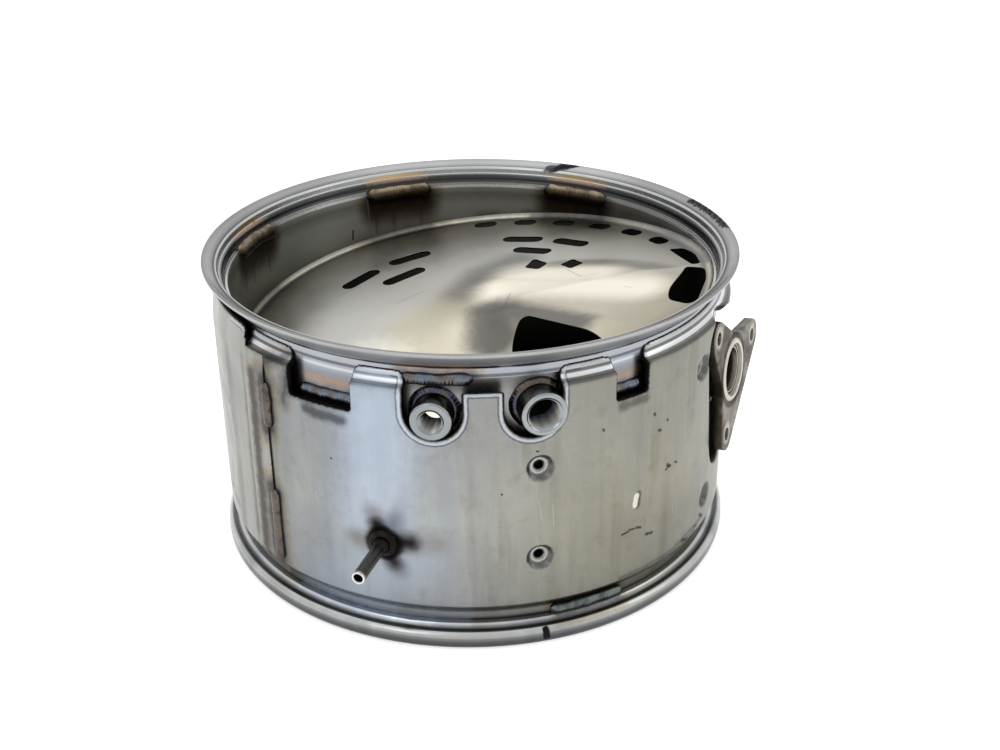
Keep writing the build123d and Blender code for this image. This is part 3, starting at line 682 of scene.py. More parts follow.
def make_tap(material):
    end = shield_radius + 38
    root = shield_radius + 5
    line = [(2.75, can_radius), (2.75, end - 0.5)]
    line += rounded([
        (2.75, end - 0.6, 0), (3.1, end, 0.3), (3.8, end, 0.3), (4.05, end - 0.5, 0.4),
        (4.05, end - 1.4, 0.3), (3.95, end - 2.2, 0.4), (3.95, root + 3, 0.5), (4.4, root + 0.5, 1.0),
        (5, root - 2, 0.6), (5, can_radius, 0),
    ], 4)
    form = standing(tap_angle, tap_height, line, 48)
    bmesh.ops.reverse_faces(form, faces=form.faces)
    new_piece("tap_tube", form, ["pressure_tap"], material)


# Doser mount: the CAD casting with its edges rounded, and a raised ring round the bore
def rounded_copy(node, radius):
    form = bmesh.new()
    form.from_mesh(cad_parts[node].data)
    bmesh.ops.scale(form, vec=(1 / mm, 1 / mm, 1 / mm), verts=form.verts)
    bmesh.ops.remove_doubles(form, verts=form.verts, dist=0.01)
    bmesh.ops.dissolve_limit(form, angle_limit=0.01, verts=form.verts, edges=form.edges)
    sharp = [edge for edge in form.edges if edge.is_manifold and edge.calc_face_angle(0) > math.radians(40)]
    bmesh.ops.bevel(
        form, geom=sharp, offset=radius, offset_type="OFFSET", segments=3, profile=0.5,
        affect="EDGES", clamp_overlap=True, material=-1,
    )
    return form


def make_doser_mount(material):
    form = rounded_copy("doser_mount", 1.1)
    line = [(17.6, -1.6, 0), (17.6, 0.7, 0.4), (18.6, 1.1, 0.4), (19.8, 0.9, 0.5), (20.6, -0.3, 0)]
    rows = []
    for wide, rise in rounded(line, 3):
        row = []
        for turn in turns_of(72):
            way = doser_across * wide * math.cos(turn) + doser_up * wide * math.sin(turn)
            row.append(form.verts.new(doser_place + way + doser_normal * rise))
        rows.append(row)
    round_faces(form, rows, turned=True)
    new_piece("doser_casting", form, ["doser_mount"], material, corner=50)


def make_doser_bead(material):
    form = bmesh.new()
    neck = 21.2

    def spine(part):
        turn = math.tau * part
        away = doser_across * math.cos(turn) + doser_up * math.sin(turn)
        start = doser_place + away * neck
        reach = start.xy.dot(doser_normal.xy) / doser_normal.xy.length_squared
        spare = start.xy.length_squared - can_radius**2
        back = reach - math.sqrt(max(0, reach**2 - spare / doser_normal.xy.length_squared))
        middle = start - doser_normal * back
        out = (Vector((middle.x, middle.y, 0)).normalized() + away * 0.9).normalized()
        way = -doser_across * math.sin(turn) + doser_up * math.cos(turn)
        return middle, out, way.cross(out).normalized()

    bead(form, spine, math.tau * neck, 3.8, 3.0, seed=8, closed=True)
    new_piece("doser_bead", form, ["doser_weld"], material)
# Node trees
def srgb(red, green, blue):
    """A colour written as it looks on screen, from 0 to 255, turned into the shader's own scale."""
    parts = [value / 255 for value in (red, green, blue)]
    return tuple(part / 12.92 if part <= 0.04045 else ((part + 0.055) / 1.055) ** 2.4 for part in parts)


class Tree:
    """Adds nodes to a material's or a group's tree and links their sockets."""

    def __init__(self, tree):
        self.tree = tree

    def add(self, kind, **settings):
        node = self.tree.nodes.new(kind)
        for name, value in settings.items():
            setattr(node, name, value)
        return node

    def set(self, socket, value):
        if isinstance(value, bpy.types.NodeSocket):
            self.tree.links.new(value, socket)
        else:
            socket.default_value = value

    def math(self, operation, a, b=0.5, c=0.5, clamp=False):
        node = self.add("ShaderNodeMath", operation=operation, use_clamp=clamp)
        self.set(node.inputs[0], a)
        self.set(node.inputs[1], b)
        if operation == "MULTIPLY_ADD":
            self.set(node.inputs[2], c)
        return node.outputs[0]

    def vector(self, operation, a, b=(0, 0, 0)):
        node = self.add("ShaderNodeVectorMath", operation=operation)
        self.set(node.inputs[0], a)
        self.set(node.inputs[1], b)
        return node.outputs["Value" if operation in ("DOT_PRODUCT", "DISTANCE", "LENGTH") else "Vector"]

    def split(self, vector):
        node = self.add("ShaderNodeSeparateXYZ")
        self.set(node.inputs[0], vector)
        return node.outputs

    def wobble(self, vector, scale, detail, roughness, amount):
        """Noise about 0, as wide as this amount."""
        noise = self.noise(vector, scale, detail, roughness)
        return self.math("MULTIPLY", self.math("SUBTRACT", noise, 0.5), amount)

    def fade(self, value, low, high, out_low=0.0, out_high=1.0):
        node = self.add("ShaderNodeMapRange", interpolation_type="SMOOTHSTEP")
        self.set(node.inputs["Value"], value)
        self.set(node.inputs["From Min"], low)
        self.set(node.inputs["From Max"], high)
        self.set(node.inputs["To Min"], out_low)
        self.set(node.inputs["To Max"], out_high)
        return node.outputs[0]

    def mix(self, factor, a, b, blend="MIX"):
        node = self.add("ShaderNodeMix", data_type="RGBA", blend_type=blend)
        self.set(node.inputs["Factor"], factor)
        self.set(node.inputs["A"], a)
        self.set(node.inputs["B"], b)
        return node.outputs["Result"]

    def noise(self, vector, scale, detail=3.0, roughness=0.5):
        node = self.add("ShaderNodeTexNoise")
        self.set(node.inputs["Vector"], vector)
        self.set(node.inputs["Scale"], scale)
        self.set(node.inputs["Detail"], detail)
        self.set(node.inputs["Roughness"], roughness)
        return node.outputs["Fac"]

    def moved(self, vector, scale=(1, 1, 1), place=(0, 0, 0)):
        node = self.add("ShaderNodeMapping", vector_type="POINT")
        self.set(node.inputs["Vector"], vector)
        node.inputs["Scale"].default_value = scale
        node.inputs["Location"].default_value = place
        return node.outputs[0]

    def ramp(self, factor, stops):
        node = self.add("ShaderNodeValToRGB")
        self.set(node.inputs["Fac"], factor)
        elements = node.color_ramp.elements
        elements[0].position, elements[0].color = stops[0][0], (*stops[0][1], 1)
        elements[1].position, elements[1].color = stops[-1][0], (*stops[-1][1], 1)
        for position, colour in stops[1:-1]:
            element = elements.new(position)
            element.color = (*colour, 1)
        return node.outputs["Color"]

    def tones(self, factor, stops):
        """A ramp whose stops are a place and a colour as it looks on screen."""
        return self.ramp(factor, [(place, srgb(*colour)) for place, *colour in stops])

    def group(self, group, **values):
        node = self.add("ShaderNodeGroup", node_tree=group)
        for name, value in values.items():
            self.set(node.inputs[name.replace("_", " ")], value)
        return node.outputs


def new_group(name, inputs, outputs):
    """A shader node group, its tree, its input sockets and its output sockets."""
    group = bpy.data.node_groups.new(name, "ShaderNodeTree")
    for label, kind, value in inputs:
        socket = group.interface.new_socket(label, in_out="INPUT", socket_type=kind)
        if value is not None:
            socket.default_value = value
    for label, kind in outputs:
        group.interface.new_socket(label, in_out="OUTPUT", socket_type=kind)
    tree = Tree(group)
    source = group.nodes.new("NodeGroupInput").outputs
    sink = group.nodes.new("NodeGroupOutput").inputs
    return group, tree, source, sink


NUMBER, COLOUR, VECTOR = "NodeSocketFloat", "NodeSocketColor", "NodeSocketVector"


# Satin sheet: rolling grain and cloudy patches
def make_satin():
    group, tree, source, sink = new_group(
        "satin sheet",
        [("Vector", VECTOR, None), ("Colour", COLOUR, (0.5, 0.5, 0.5, 1)), ("Grain", NUMBER, 0.5),
         ("Roughness", NUMBER, 0.3), ("Cloud", NUMBER, 0.5)],
        [("Colour", COLOUR), ("Roughness", NUMBER), ("Height", NUMBER)],
    )
    position = source["Vector"]
    grain = tree.noise(tree.moved(position, scale=(1, 1, 14)), 420, 2, 0.6)
    cloud = tree.noise(position, 14, 4, 0.55)
    patch = tree.noise(tree.moved(position, place=(3.1, 1.7, 0.4)), 46, 3, 0.6)

    def swing(pattern, amount, share, middle):
        """The pattern about 0, times this share of an amount, added to a middle."""
        wide = tree.math("MULTIPLY", source[amount], share)
        return tree.math("MULTIPLY_ADD", tree.math("SUBTRACT", pattern, 0.5), wide, middle)

    shade = swing(grain, "Grain", 0.22, swing(cloud, "Cloud", 1.0, 1.0))
    tree.set(sink["Colour"], tree.mix(1.0, source["Colour"], shade, "MULTIPLY"))
    tree.set(sink["Roughness"], swing(grain, "Grain", 0.12, swing(patch, "Cloud", 0.35, source["Roughness"])))
    relief = tree.math("MULTIPLY_ADD", grain, source["Grain"], tree.math("MULTIPLY", patch, 0.6))
    tree.set(sink["Height"], relief)
    return group


satin_sheet = make_satin()


def new_material(name):
    material = bpy.data.materials.new(name)
    material.use_nodes = True
    return material, Tree(material.node_tree), material.node_tree.nodes["Principled BSDF"]


# Unrolled place: millimetres round the wall from the front, and millimetres up, for marks on round pieces
def make_unrolled():
    group, tree, source, sink = new_group(
        "unrolled wall", [("Vector", VECTOR, None), ("Radius", NUMBER, shield_radius)], [("Vector", VECTOR)]
    )
    parts = tree.split(source["Vector"])
    turn = tree.math("ARCTAN2", parts["X"], tree.math("MULTIPLY", parts["Y"], -1))
    place = tree.add("ShaderNodeCombineXYZ")
    tree.set(place.inputs["X"], tree.math("MULTIPLY", turn, source["Radius"]))
    tree.set(place.inputs["Y"], tree.math("MULTIPLY", parts["Z"], 1000))
    tree.set(sink["Vector"], place.outputs[0])
    return group


# Distance in millimetres from a short line between two places, and how far along it the nearest point is
def make_stroke():
    group, tree, source, sink = new_group(
        "stroke distance",
        [("Vector", VECTOR, None), ("Start", VECTOR, None), ("End", VECTOR, None)],
        [("Distance", NUMBER), ("Part", NUMBER)],
    )
    way = tree.vector("SUBTRACT", source["End"], source["Start"])
    here = tree.vector("SUBTRACT", source["Vector"], source["Start"])
    share, whole = [tree.vector("DOT_PRODUCT", place, way) for place in (here, way)]
    part = tree.math("DIVIDE", share, whole, clamp=True)
    scaled = tree.add("ShaderNodeVectorMath", operation="SCALE")
    tree.set(scaled.inputs[0], way)
    tree.set(scaled.inputs["Scale"], part)
    tree.set(sink["Distance"], tree.vector("DISTANCE", here, scaled.outputs["Vector"]))
    tree.set(sink["Part"], part)
    return group


# Temper colours beside a weld: soot, blue, purple, brown and straw fading out to bare steel
def make_temper():
    group, tree, source, sink = new_group(
        "temper colours",
        [("Vector", VECTOR, None), ("Distance", NUMBER, 10.0), ("Reach", NUMBER, 12.0),
         ("Soot", NUMBER, 0.7)],
        [("Tint", COLOUR), ("Soot", NUMBER)],
    )
    wobble = tree.wobble(source["Vector"], 0.13, 4, 0.6, 1.0)
    streak = tree.wobble(source["Vector"], 0.5, 3, 0.6, 0.25)
    part = tree.math("DIVIDE", source["Distance"], source["Reach"])
    ragged = tree.math("ADD", streak, tree.math("MULTIPLY_ADD", wobble, 0.75, part))
    tree.set(sink["Tint"], tree.tones(ragged, [
        (0.0, 108, 100, 94), (0.16, 128, 124, 124), (0.28, 158, 158, 168), (0.4, 186, 176, 172),
        (0.52, 214, 194, 168), (0.68, 236, 222, 196), (0.84, 248, 242, 230), (1.0, 255, 255, 255),
    ]))
    black = tree.fade(tree.math("MULTIPLY_ADD", wobble, 0.5, part), 0.32, 0.05)
    tree.set(sink["Soot"], tree.math("MULTIPLY", black, source["Soot"]))
    return group


unrolled_wall = make_unrolled()
stroke_distance = make_stroke()
temper_colours = make_temper()


class Skin:
    """Builds up one metal: a base colour and roughness, with tints, soot, strokes and specks laid over it.

    Colours are written as they look on screen, from 0 to 255.
    """

    def __init__(self, name, colour, roughness, grain=0.5, cloud=0.4, bump=0.15, metallic=1.0, radius=None):
        self.material, self.tree, self.shader = new_material(name)
        tree = self.tree
        self.position = tree.add("ShaderNodeTexCoord").outputs["Object"]
        sheet = tree.group(
            satin_sheet, Vector=self.position, Colour=(*srgb(*colour), 1),
            Grain=grain, Roughness=roughness, Cloud=cloud,
        )
        self.colour, self.roughness, self.height = sheet["Colour"], sheet["Roughness"], sheet["Height"]
        self.bump = bump
        self.limit = None
        self.metal = None
        self.shader.inputs["Metallic"].default_value = metallic
        if radius:
            self.place = tree.group(unrolled_wall, Vector=self.position, Radius=radius)["Vector"]
        else:
            self.place = tree.moved(self.position, scale=(1000, 1000, 1000))

    def line(self, start, end):
        """Distance and part along a line. Places are (round the wall, up), or (x, y, z) on other pieces."""
        first = (*start, 0) if len(start) == 2 else start
        last = (*end, 0) if len(end) == 2 else end
        return self.tree.group(stroke_distance, Vector=self.place, Start=first, End=last)

    def nearest(self, lines):
        shortest = None
        for start, end in lines:
            gap = self.line(start, end)["Distance"]
            shortest = gap if shortest is None else self.tree.math("MINIMUM", shortest, gap)
        return shortest

    def temper(self, lines, reach=12.0, soot=0.7, tint=0.8):
        tree = self.tree
        gap = self.nearest(lines)
        burn = tree.group(temper_colours, Vector=self.place, Distance=gap, Reach=reach, Soot=soot)
        if self.limit:
            tint = tree.math("MULTIPLY", self.limit, tint)
        self.colour = tree.mix(tint, self.colour, burn["Tint"], "MULTIPLY")
        self.cover(burn["Soot"], (40, 35, 31), 0.6)

    def smudge(self, lines, reach, colour, strength=0.8, ragged=0.5):
        """Soft colour over these lines, fading out at this reach: soot and dark marks, and also painted
        shade, painted highlights and painted reflections.
        """
        tree = self.tree
        gap = tree.math("ADD", self.nearest(lines), tree.wobble(self.place, 0.16, 4, 0.6, reach * ragged))
        self.cover(tree.fade(gap, reach, reach * 0.15, 0.0, strength), colour, 0.45)

    def edge(self):
        """Distance in millimetres from the sheet's cut edge."""
        node = self.tree.add("ShaderNodeAttribute", attribute_type="GEOMETRY", attribute_name="edge")
        return node.outputs["Fac"]

    def band(self, value, low, high, soft, colour, strength, roughness=None):
        """Covers the places where value lies between low and high."""
        tree = self.tree
        mask = tree.math("MULTIPLY", tree.fade(value, low - soft, low), tree.fade(value, high + soft, high))
        self.cover(tree.math("MULTIPLY", mask, strength), colour, roughness)

    def cover(self, mask, colour, roughness=None):
        tree = self.tree
        if self.limit:
            mask = tree.math("MULTIPLY", mask, self.limit)
        self.colour = tree.mix(mask, self.colour, (*srgb(*colour), 1))
        if roughness is not None:
            self.roughness = tree.math("ADD", self.roughness, tree.math("MULTIPLY", mask, roughness - 0.3))

    def stroke(self, start, end, width, colour, roughness=None, soft=0.4, thin=1.0, strength=1.0, ragged=0.5):
        """A stroke that narrows to this share of its width at its end."""
        tree = self.tree
        gap = self.line(start, end)
        rough = tree.wobble(self.place, 0.9 / max(width, 0.5), 3, 0.6, width * ragged)
        wide = tree.math("MULTIPLY_ADD", gap["Part"], width * (thin - 1), width)
        off = tree.math("DIVIDE", tree.math("ADD", gap["Distance"], rough), wide)
        self.cover(tree.fade(off, 1.0, 1.0 - soft, 0.0, strength), colour, roughness)

    def shade(self, value, stops):
        self.colour = self.tree.mix(1.0, self.colour, self.tree.tones(value, stops), "MULTIPLY")

    def toward(self, way):
        """How far a place lies in this direction from the origin, in millimetres."""
        return self.tree.vector("DOT_PRODUCT", self.place, way)

    def done(self, distance=0.0001):
        tree = self.tree
        tree.set(self.shader.inputs["Base Color"], self.colour)
        tree.set(self.shader.inputs["Roughness"], tree.math("MAXIMUM", self.roughness, 0.08))
        if self.metal:
            tree.set(self.shader.inputs["Metallic"], self.metal)
        relief = tree.add("ShaderNodeBump")
        relief.inputs["Strength"].default_value = self.bump
        relief.inputs["Distance"].default_value = distance
        tree.set(relief.inputs["Height"], self.height)
        tree.set(self.shader.inputs["Normal"], relief.outputs["Normal"])
        return self.material


def at(angle, height, radius=shield_radius):
    """A place on an unrolled wall."""
    return (arc_at((angle - front + 180) % 360 - 180 + front, radius), height)
# Marks shared by the wraps, and painted light and shade along their edges
def scratches(skin, places, width=0.34, strength=0.2):
    for start, end in places:
        line = at(*start), at(*end)
        skin.stroke(*line, width, (232, 230, 224), 0.2, soft=0.9, strength=strength, ragged=1.6)


def edge_light_and_shade(skin, low, high, height, strength):
    """A painted highlight on the rolled edge beside a line of painted shade, between two places above a
    height, and the cut face painted dark as shade.
    """
    tree = skin.tree
    parts = tree.split(skin.place)
    zone = tree.math("MULTIPLY", tree.fade(parts["X"], low - 3, low), tree.fade(parts["X"], high + 3, high))
    zone = tree.math("MULTIPLY", zone, tree.fade(parts["Y"], height - 4, height))
    zone = tree.math("MULTIPLY", zone, strength)
    edge = tree.math("ADD", skin.edge(), tree.wobble(skin.place, 0.4, 3, 0.6, 1.2))
    skin.band(edge, 1.4, 1.9, 0.6, (64, 68, 76), zone)
    skin.band(edge, 0.0, 0.8, 0.5, (192, 198, 206), zone)
    skin.cover(tree.fade(edge, -0.3, -1.2), (26, 26, 28), 0.5)


# Front shield: a painted reflection, cool and bright left of the middle, warm and duller to the right, with
# painted shade towards the foot, burnt by the welds
def make_shield_skin():
    tone = (176, 176, 174)
    skin = Skin("front wrap steel", tone, 0.3, grain=0.3, cloud=0.36, bump=0.12, radius=shield_radius)
    tree = skin.tree
    parts = tree.split(skin.place)
    # Painted reflection round the wrap: a blue-white band left of the middle, warmer and duller to the right
    drift = tree.wobble(skin.place, 0.012, 3, 0.5, 0.22)
    around = tree.math("ADD", drift, tree.math("MULTIPLY_ADD", parts["X"], 0.0025, 0.5))
    skin.shade(around, [
        (0.12, 186, 184, 176), (0.2, 214, 216, 216), (0.28, 210, 214, 220), (0.35, 240, 249, 255),
        (0.43, 232, 235, 238), (0.52, 222, 222, 218), (0.64, 216, 213, 199), (0.78, 208, 204, 188),
        (1.0, 200, 197, 184),
    ])
    # Painted shade by height: darker towards the foot and a little towards the top
    skin.shade(tree.math("MULTIPLY", parts["Y"], 0.005), [
        (0.08, 196, 196, 198), (0.2, 230, 230, 230), (0.45, 255, 255, 253), (0.7, 244, 245, 248),
        (0.95, 236, 238, 242),
    ])
    # Soft vertical streaks of painted reflection
    column = tree.noise(tree.moved(skin.place, scale=(1, 0.1, 1)), 0.05, 4, 0.55)
    skin.shade(column, [(0.3, 222, 222, 219), (0.5, 255, 255, 255), (0.72, 236, 240, 246)])
    stain = tree.noise(skin.place, 0.055, 5, 0.68)
    skin.shade(stain, [(0.3, 238, 236, 231), (0.48, 255, 255, 255), (0.7, 246, 247, 246)])
    # Painted shade and painted highlights on the collar's bends: dark at the lower bend, bright on the bead,
    # dark above it, bright at the top edge
    for low, high, tone, strength in [
        (collar_bend - 0.6, collar_bend + 0.6, 58, 0.6), (collar_bend + 2, collar_bend + 3.6, 236, 0.75),
        (collar_bend + 4.7, collar_bend + 5.3, 84, 0.5), (collar_top - 1, collar_top + 1, 214, 0.5),
    ]:
        skin.band(parts["Y"], low, high, 0.5, (tone, tone + 3, tone + 8), strength)
    # Painted reflections of a blue window: a blue-white band left of the middle and a cooler patch low on the
    # left
    skin.smudge([(at(249, 92), at(251, 160))], 36, (188, 202, 224), 0.4, 0.5)
    skin.smudge([(at(238, 30), at(256, 60))], 40, (160, 170, 188), 0.35, 0.5)
    # Painted highlight and painted shade along the edges of the U cut-outs
    edge_light_and_shade(skin, arc_at(254), arc_at(291), body_height - 62, 0.6)
    skin.temper([(at(224, 28), at(224, 83)), (at(224, 127), at(224, 158))], reach=13, soot=0.35, tint=0.7)
    skin.temper([(at(229, 150), at(231, 172)), (at(224, 172), at(230, 178))], reach=9, soot=0.3, tint=0.6)
    skin.smudge([(at(235, 150.5), at(243.5, 149))], 6, (54, 54, 58), 0.75, 0.9)
    skin.smudge([(at(224, 30), at(224.4, 82)), (at(224, 127), at(224.2, 157))], 6, (62, 56, 50), 0.55, 0.9)
    skin.temper([(at(287, 21), at(302, 21))], reach=9, soot=0.75, tint=0.7)
    skin.smudge([(at(301, 30.5), at(326, 31.5)), (at(318, 33), at(330, 36))], 2.6, (70, 66, 58), 0.6, 1.8)
    skin.smudge([(at(300, 152), at(306, 152))], 4.5, (60, 56, 52), 0.6, 0.9)
    for start, end, wide, tone, strength in [
        ((250.2, 78), (249.2, 91), 11, (116, 104, 98), 0.6),
        ((252.6, 78), (253.8, 87), 11, (110, 118, 138), 0.55),
        ((254, 73), (262, 74.2), 14, (132, 128, 126), 0.6),
        ((249, 70.6), (245.6, 70.8), 12, (116, 106, 100), 0.65),
        ((252.4, 62), (254, 54), 11, (104, 104, 108), 0.65),
        ((250.4, 76), (249.8, 83), 9.0, (34, 31, 30), 1.0),
        ((253.6, 73), (256.8, 73.4), 11.0, (40, 40, 44), 1.0),
        ((251.9, 64), (253.2, 58), 9.0, (50, 49, 50), 0.95),
    ]:
        skin.stroke(at(*start), at(*end), wide, tone, 0.5, soft=1.0, strength=strength, ragged=0.5)
    root = at(tap_angle + 0.1, tap_height), at(tap_angle + 0.3, tap_height + 0.3)
    skin.stroke(*root, 13.5, (30, 27, 26), 0.6, soft=0.3, strength=0.95, ragged=0.4)
    # Each dimple: a ring of painted shade on its wall and a ring of painted highlight inside it
    for angle, height in shield_points:
        middle = at(angle, height)
        off = skin.line(middle, (middle[0] + 0.1, middle[1]))["Distance"]
        off = tree.math("ADD", off, tree.wobble(skin.place, 0.25, 3, 0.6, 1.6))
        skin.band(off, 6.0, 7.6, 1.6, (72, 72, 78), 0.7)
        skin.band(off, 4.6, 5.0, 0.6, (186, 186, 190), 0.5)
    nicks = [
        ((313.4, 98.4), (314.4, 96.2), 1.3), ((313.9, 96.8), (313.0, 95.4), 1.0),
        ((308.6, 139.0), (308.9, 138.0), 1.1), ((310.2, 126.2), (310.7, 125.4), 1.1),
        ((301.2, 62.6), (302.8, 63.0), 0.9), ((307.8, 55.4), (309.6, 54.2), 1.2),
        ((320.6, 32.4), (323, 29.4), 1.5), ((328.6, 39.2), (330.4, 35.8), 1.5),
        ((316, 97.4), (316.6, 96), 0.9), ((295.8, 140.2), (296.0, 139.6), 0.9),
        ((312.6, 130.7), (312.9, 130.1), 0.9), ((281.9, 134.4), (282.2, 134.1), 0.8),
        ((240.4, 122), (240.6, 121.6), 0.7), ((275, 108), (275.1, 107.7), 0.7),
        ((305.0, 63.5), (306.2, 62.4), 1.0), ((303.0, 64.2), (304.4, 63.4), 0.8),
        ((326, 34), (327.4, 33), 0.9),
    ]
    for start, end, width in nicks:
        skin.stroke(at(*start), at(*end), width * 1.2, (48, 44, 38), 0.5, soft=0.6, strength=0.85, ragged=1.3)
    scratches(skin, [
        ((282.4, 101), (283.0, 88)), ((285.2, 97), (285.5, 82)), ((316, 66), (316.4, 58)),
        ((236, 96), (236.6, 88)),
    ])
    skin.stroke(at(305.1, 87.6), at(304.9, 79.6), 3.2, (82, 76, 62), 0.4, soft=0.5, strength=0.85, ragged=0.5)
    skin.stroke(at(304.6, 87), at(304.3, 80.4), 2.6, (206, 204, 192), 0.2, soft=0.5, ragged=1.1)
    return skin.done()


def make_rear_skin():
    tone = (148, 147, 142)
    skin = Skin("rear wrap steel", tone, 0.32, grain=0.3, cloud=0.55, bump=0.14, radius=shield_radius)
    tree = skin.tree
    # Soft vertical streaks of painted reflection
    column = tree.noise(tree.moved(skin.place, scale=(1, 0.12, 1)), 0.035, 4, 0.55)
    skin.shade(column, [(0.3, 208, 206, 198), (0.5, 255, 255, 255), (0.75, 230, 234, 238)])
    # Painted highlight and painted shade along the rear shield's top edge where it meets the strip
    edge_light_and_shade(skin, arc_at(210), arc_at(216), body_height - 40, 0.5)
    skin.temper([(at(223, 26), at(223, 86)), (at(223, 124), at(223, 160))], reach=15, soot=0.4, tint=0.75)
    skin.smudge([(at(219.2, 30), at(219.6, 160))], 7, (66, 62, 58), 0.85, 0.9)
    skin.smudge([(at(215, 40), at(216, 165))], 5, (96, 92, 86), 0.45, 1.2)
    skin.smudge([(at(207, 30), at(207.5, 160))], 9, (88, 88, 86), 0.4, 1.1)
    skin.temper([(at(43, 45), at(43, 75)), (at(43, 125), at(43, 155))], reach=13, soot=0.5)
    skin.temper([(at(166, 21), at(183, 21)), (at(46, 21), at(63, 21))], reach=9, soot=0.6)
    skin.smudge([(at(200, 131), at(204, 120)), (at(197, 46), at(204, 42))], 4, (90, 88, 84), 0.5, 0.8)
    scratches(skin, [
        ((150, 150), (152, 120)), ((110, 120), (114, 90)), ((200, 100), (201, 80)), ((75, 90), (77, 60)),
    ])
    for start, end in [((211, 22), (211.4, 20)), ((219, 29.5), (219.4, 27.5))]:
        skin.stroke(at(*start), at(*end), 1.8, (36, 33, 30), 0.5, soft=0.5, ragged=0.9)
    return skin.done()


# Painted highlights and shade in rings by radius and height on the flanges: a bright edge, the lip, a ridge,
# the groove and the ledge
def make_inlet_flange_skin():
    skin = Skin("inlet ring steel", (192, 192, 191), 0.27, grain=0.0, cloud=0.4, bump=0.05)
    tree = skin.tree
    around = tree.group(unrolled_wall, Vector=skin.position, Radius=can_radius)["Vector"]
    reach = tree.vector("LENGTH", tree.moved(skin.place, scale=(1, 1, 0)))
    height = tree.split(skin.place)["Z"]
    slope = 0.98
    fall = tree.math("MULTIPLY_ADD", reach, -slope, skirt_radius * slope - flange_crease)
    lift = tree.math("ADD", height, fall)
    # Painted highlights and shade in bands by height on the ring's outer side
    outer = tree.mix(1.0, skin.colour, tree.tones(tree.math("MULTIPLY_ADD", height, 0.05, -9.0), [
        (0.0, 206, 212, 222), (0.27, 216, 220, 228), (0.32, 98, 100, 104), (0.36, 236, 238, 242),
        (0.43, 206, 208, 212), (0.55, 176, 178, 182), (0.8, 204, 206, 208), (0.9, 246, 247, 247),
    ]), "MULTIPLY")
    # Painted highlights and shade in rings by radius over the lip, the groove wall and the ledge
    skin.shade(tree.math("MULTIPLY_ADD", reach, 1 / 16, -10.0), [
        (0.0, 120, 120, 118), (0.12, 84, 84, 82), (0.17, 90, 90, 90), (0.22, 170, 172, 176),
        (0.27, 240, 245, 250), (0.4, 255, 255, 255), (0.44, 112, 112, 114), (0.475, 104, 104, 106),
        (0.53, 178, 180, 182), (0.66, 214, 215, 215), (0.82, 200, 201, 201), (0.9, 172, 174, 174),
        (0.95, 255, 255, 255),
    ])
    inside = tree.fade(lift, 0.8, 1.8)
    skin.colour = tree.mix(inside, outer, skin.colour)
    under = tree.math("MULTIPLY", tree.math("SUBTRACT", 1.0, inside), tree.fade(height, 187.2, 188.4))
    skin.metal = tree.math("MULTIPLY_ADD", under, -0.6, 1.0)
    skin.roughness = tree.math("MULTIPLY_ADD", under, 0.2, skin.roughness)
    # Lines of painted shade and a painted highlight at three heights below the can's top
    for middle, soft, tone, strength in [
        (can_top - 3, 0.8, 62, 0.7), (can_top - 6.5, 0.6, 214, 0.5), (can_top - 12, 5.0, 92, 0.45),
    ]:
        skin.band(height, middle - 0.6, middle + 0.6, soft, (tone, tone + 2, tone + 6), strength)
    skin.place = around
    skin.limit = inside
    for angle in inner_stitches:
        for height, wide, tone, strength in [
            (193.0, 2.4, (232, 196, 128), 0.9), (190.6, 1.8, (150, 126, 118), 0.8),
            (188.0, 2.4, (74, 66, 62), 1.0),
        ]:
            for share in (1.05, 0.8, 0.5):
                half = stitch_half * share
                start, end = at(angle - half, height, can_radius), at(angle + half, height, can_radius)
                skin.stroke(start, end, wide, tone, 0.3, soft=1.0, strength=strength * 0.42, ragged=0.6)
    skin.limit = None
    for angle, span, edge in outer_stitches:
        half = (span - 1.5) / 2
        start, end = at(angle - half, edge, can_radius), at(angle + half, edge, can_radius)
        skin.temper([(start, end)], reach=11, soot=0.25, tint=0.85)
        warm = (start[0], edge + 9), (end[0], edge + 8)
        skin.stroke(*warm, 5, (150, 112, 84), 0.35, soft=0.9, strength=0.4, ragged=1.0)
    skin.place = tree.moved(skin.position, scale=(1000, 1000, 1000))
    for start, end, width in [
        ((68.0, 164), (64.6, 175.5), 2.4), ((67.4, 166), (61.8, 175.5), 2.0), ((69.2, 169), (62.0, 174), 2.0),
        ((70.0, 163.5), (67.0, 168), 2.6), ((66, 171), (60.5, 175.5), 1.8),
    ]:
        line = radial(*start, 197), radial(*end, 199)
        skin.stroke(*line, width * 1.4, (40, 40, 46), 0.45, soft=0.5, strength=0.85, ragged=1.1)
    for angle in (25, 22.2, 19.4, 16.6, 13.8, 11, 8.2):
        line = radial(angle, 171.6, 198.4), radial(angle - 3.6, 175.3, 199.4)
        skin.stroke(*line, 2.6, (38, 38, 42), 0.45, soft=0.5, strength=0.9, ragged=1.2)
        line = radial(angle, 175.2, 199.3), radial(angle - 1.6, 171.4, 198.4)
        skin.stroke(*line, 2.0, (38, 38, 42), 0.45, soft=0.5, strength=0.85, ragged=1.2)
    line = radial(157.5, 163, 190), radial(156.6, 175, 199)
    skin.stroke(*line, 2.2, (128, 102, 72), 0.3, soft=0.9, strength=0.7, ragged=0.9)
    return skin.done()


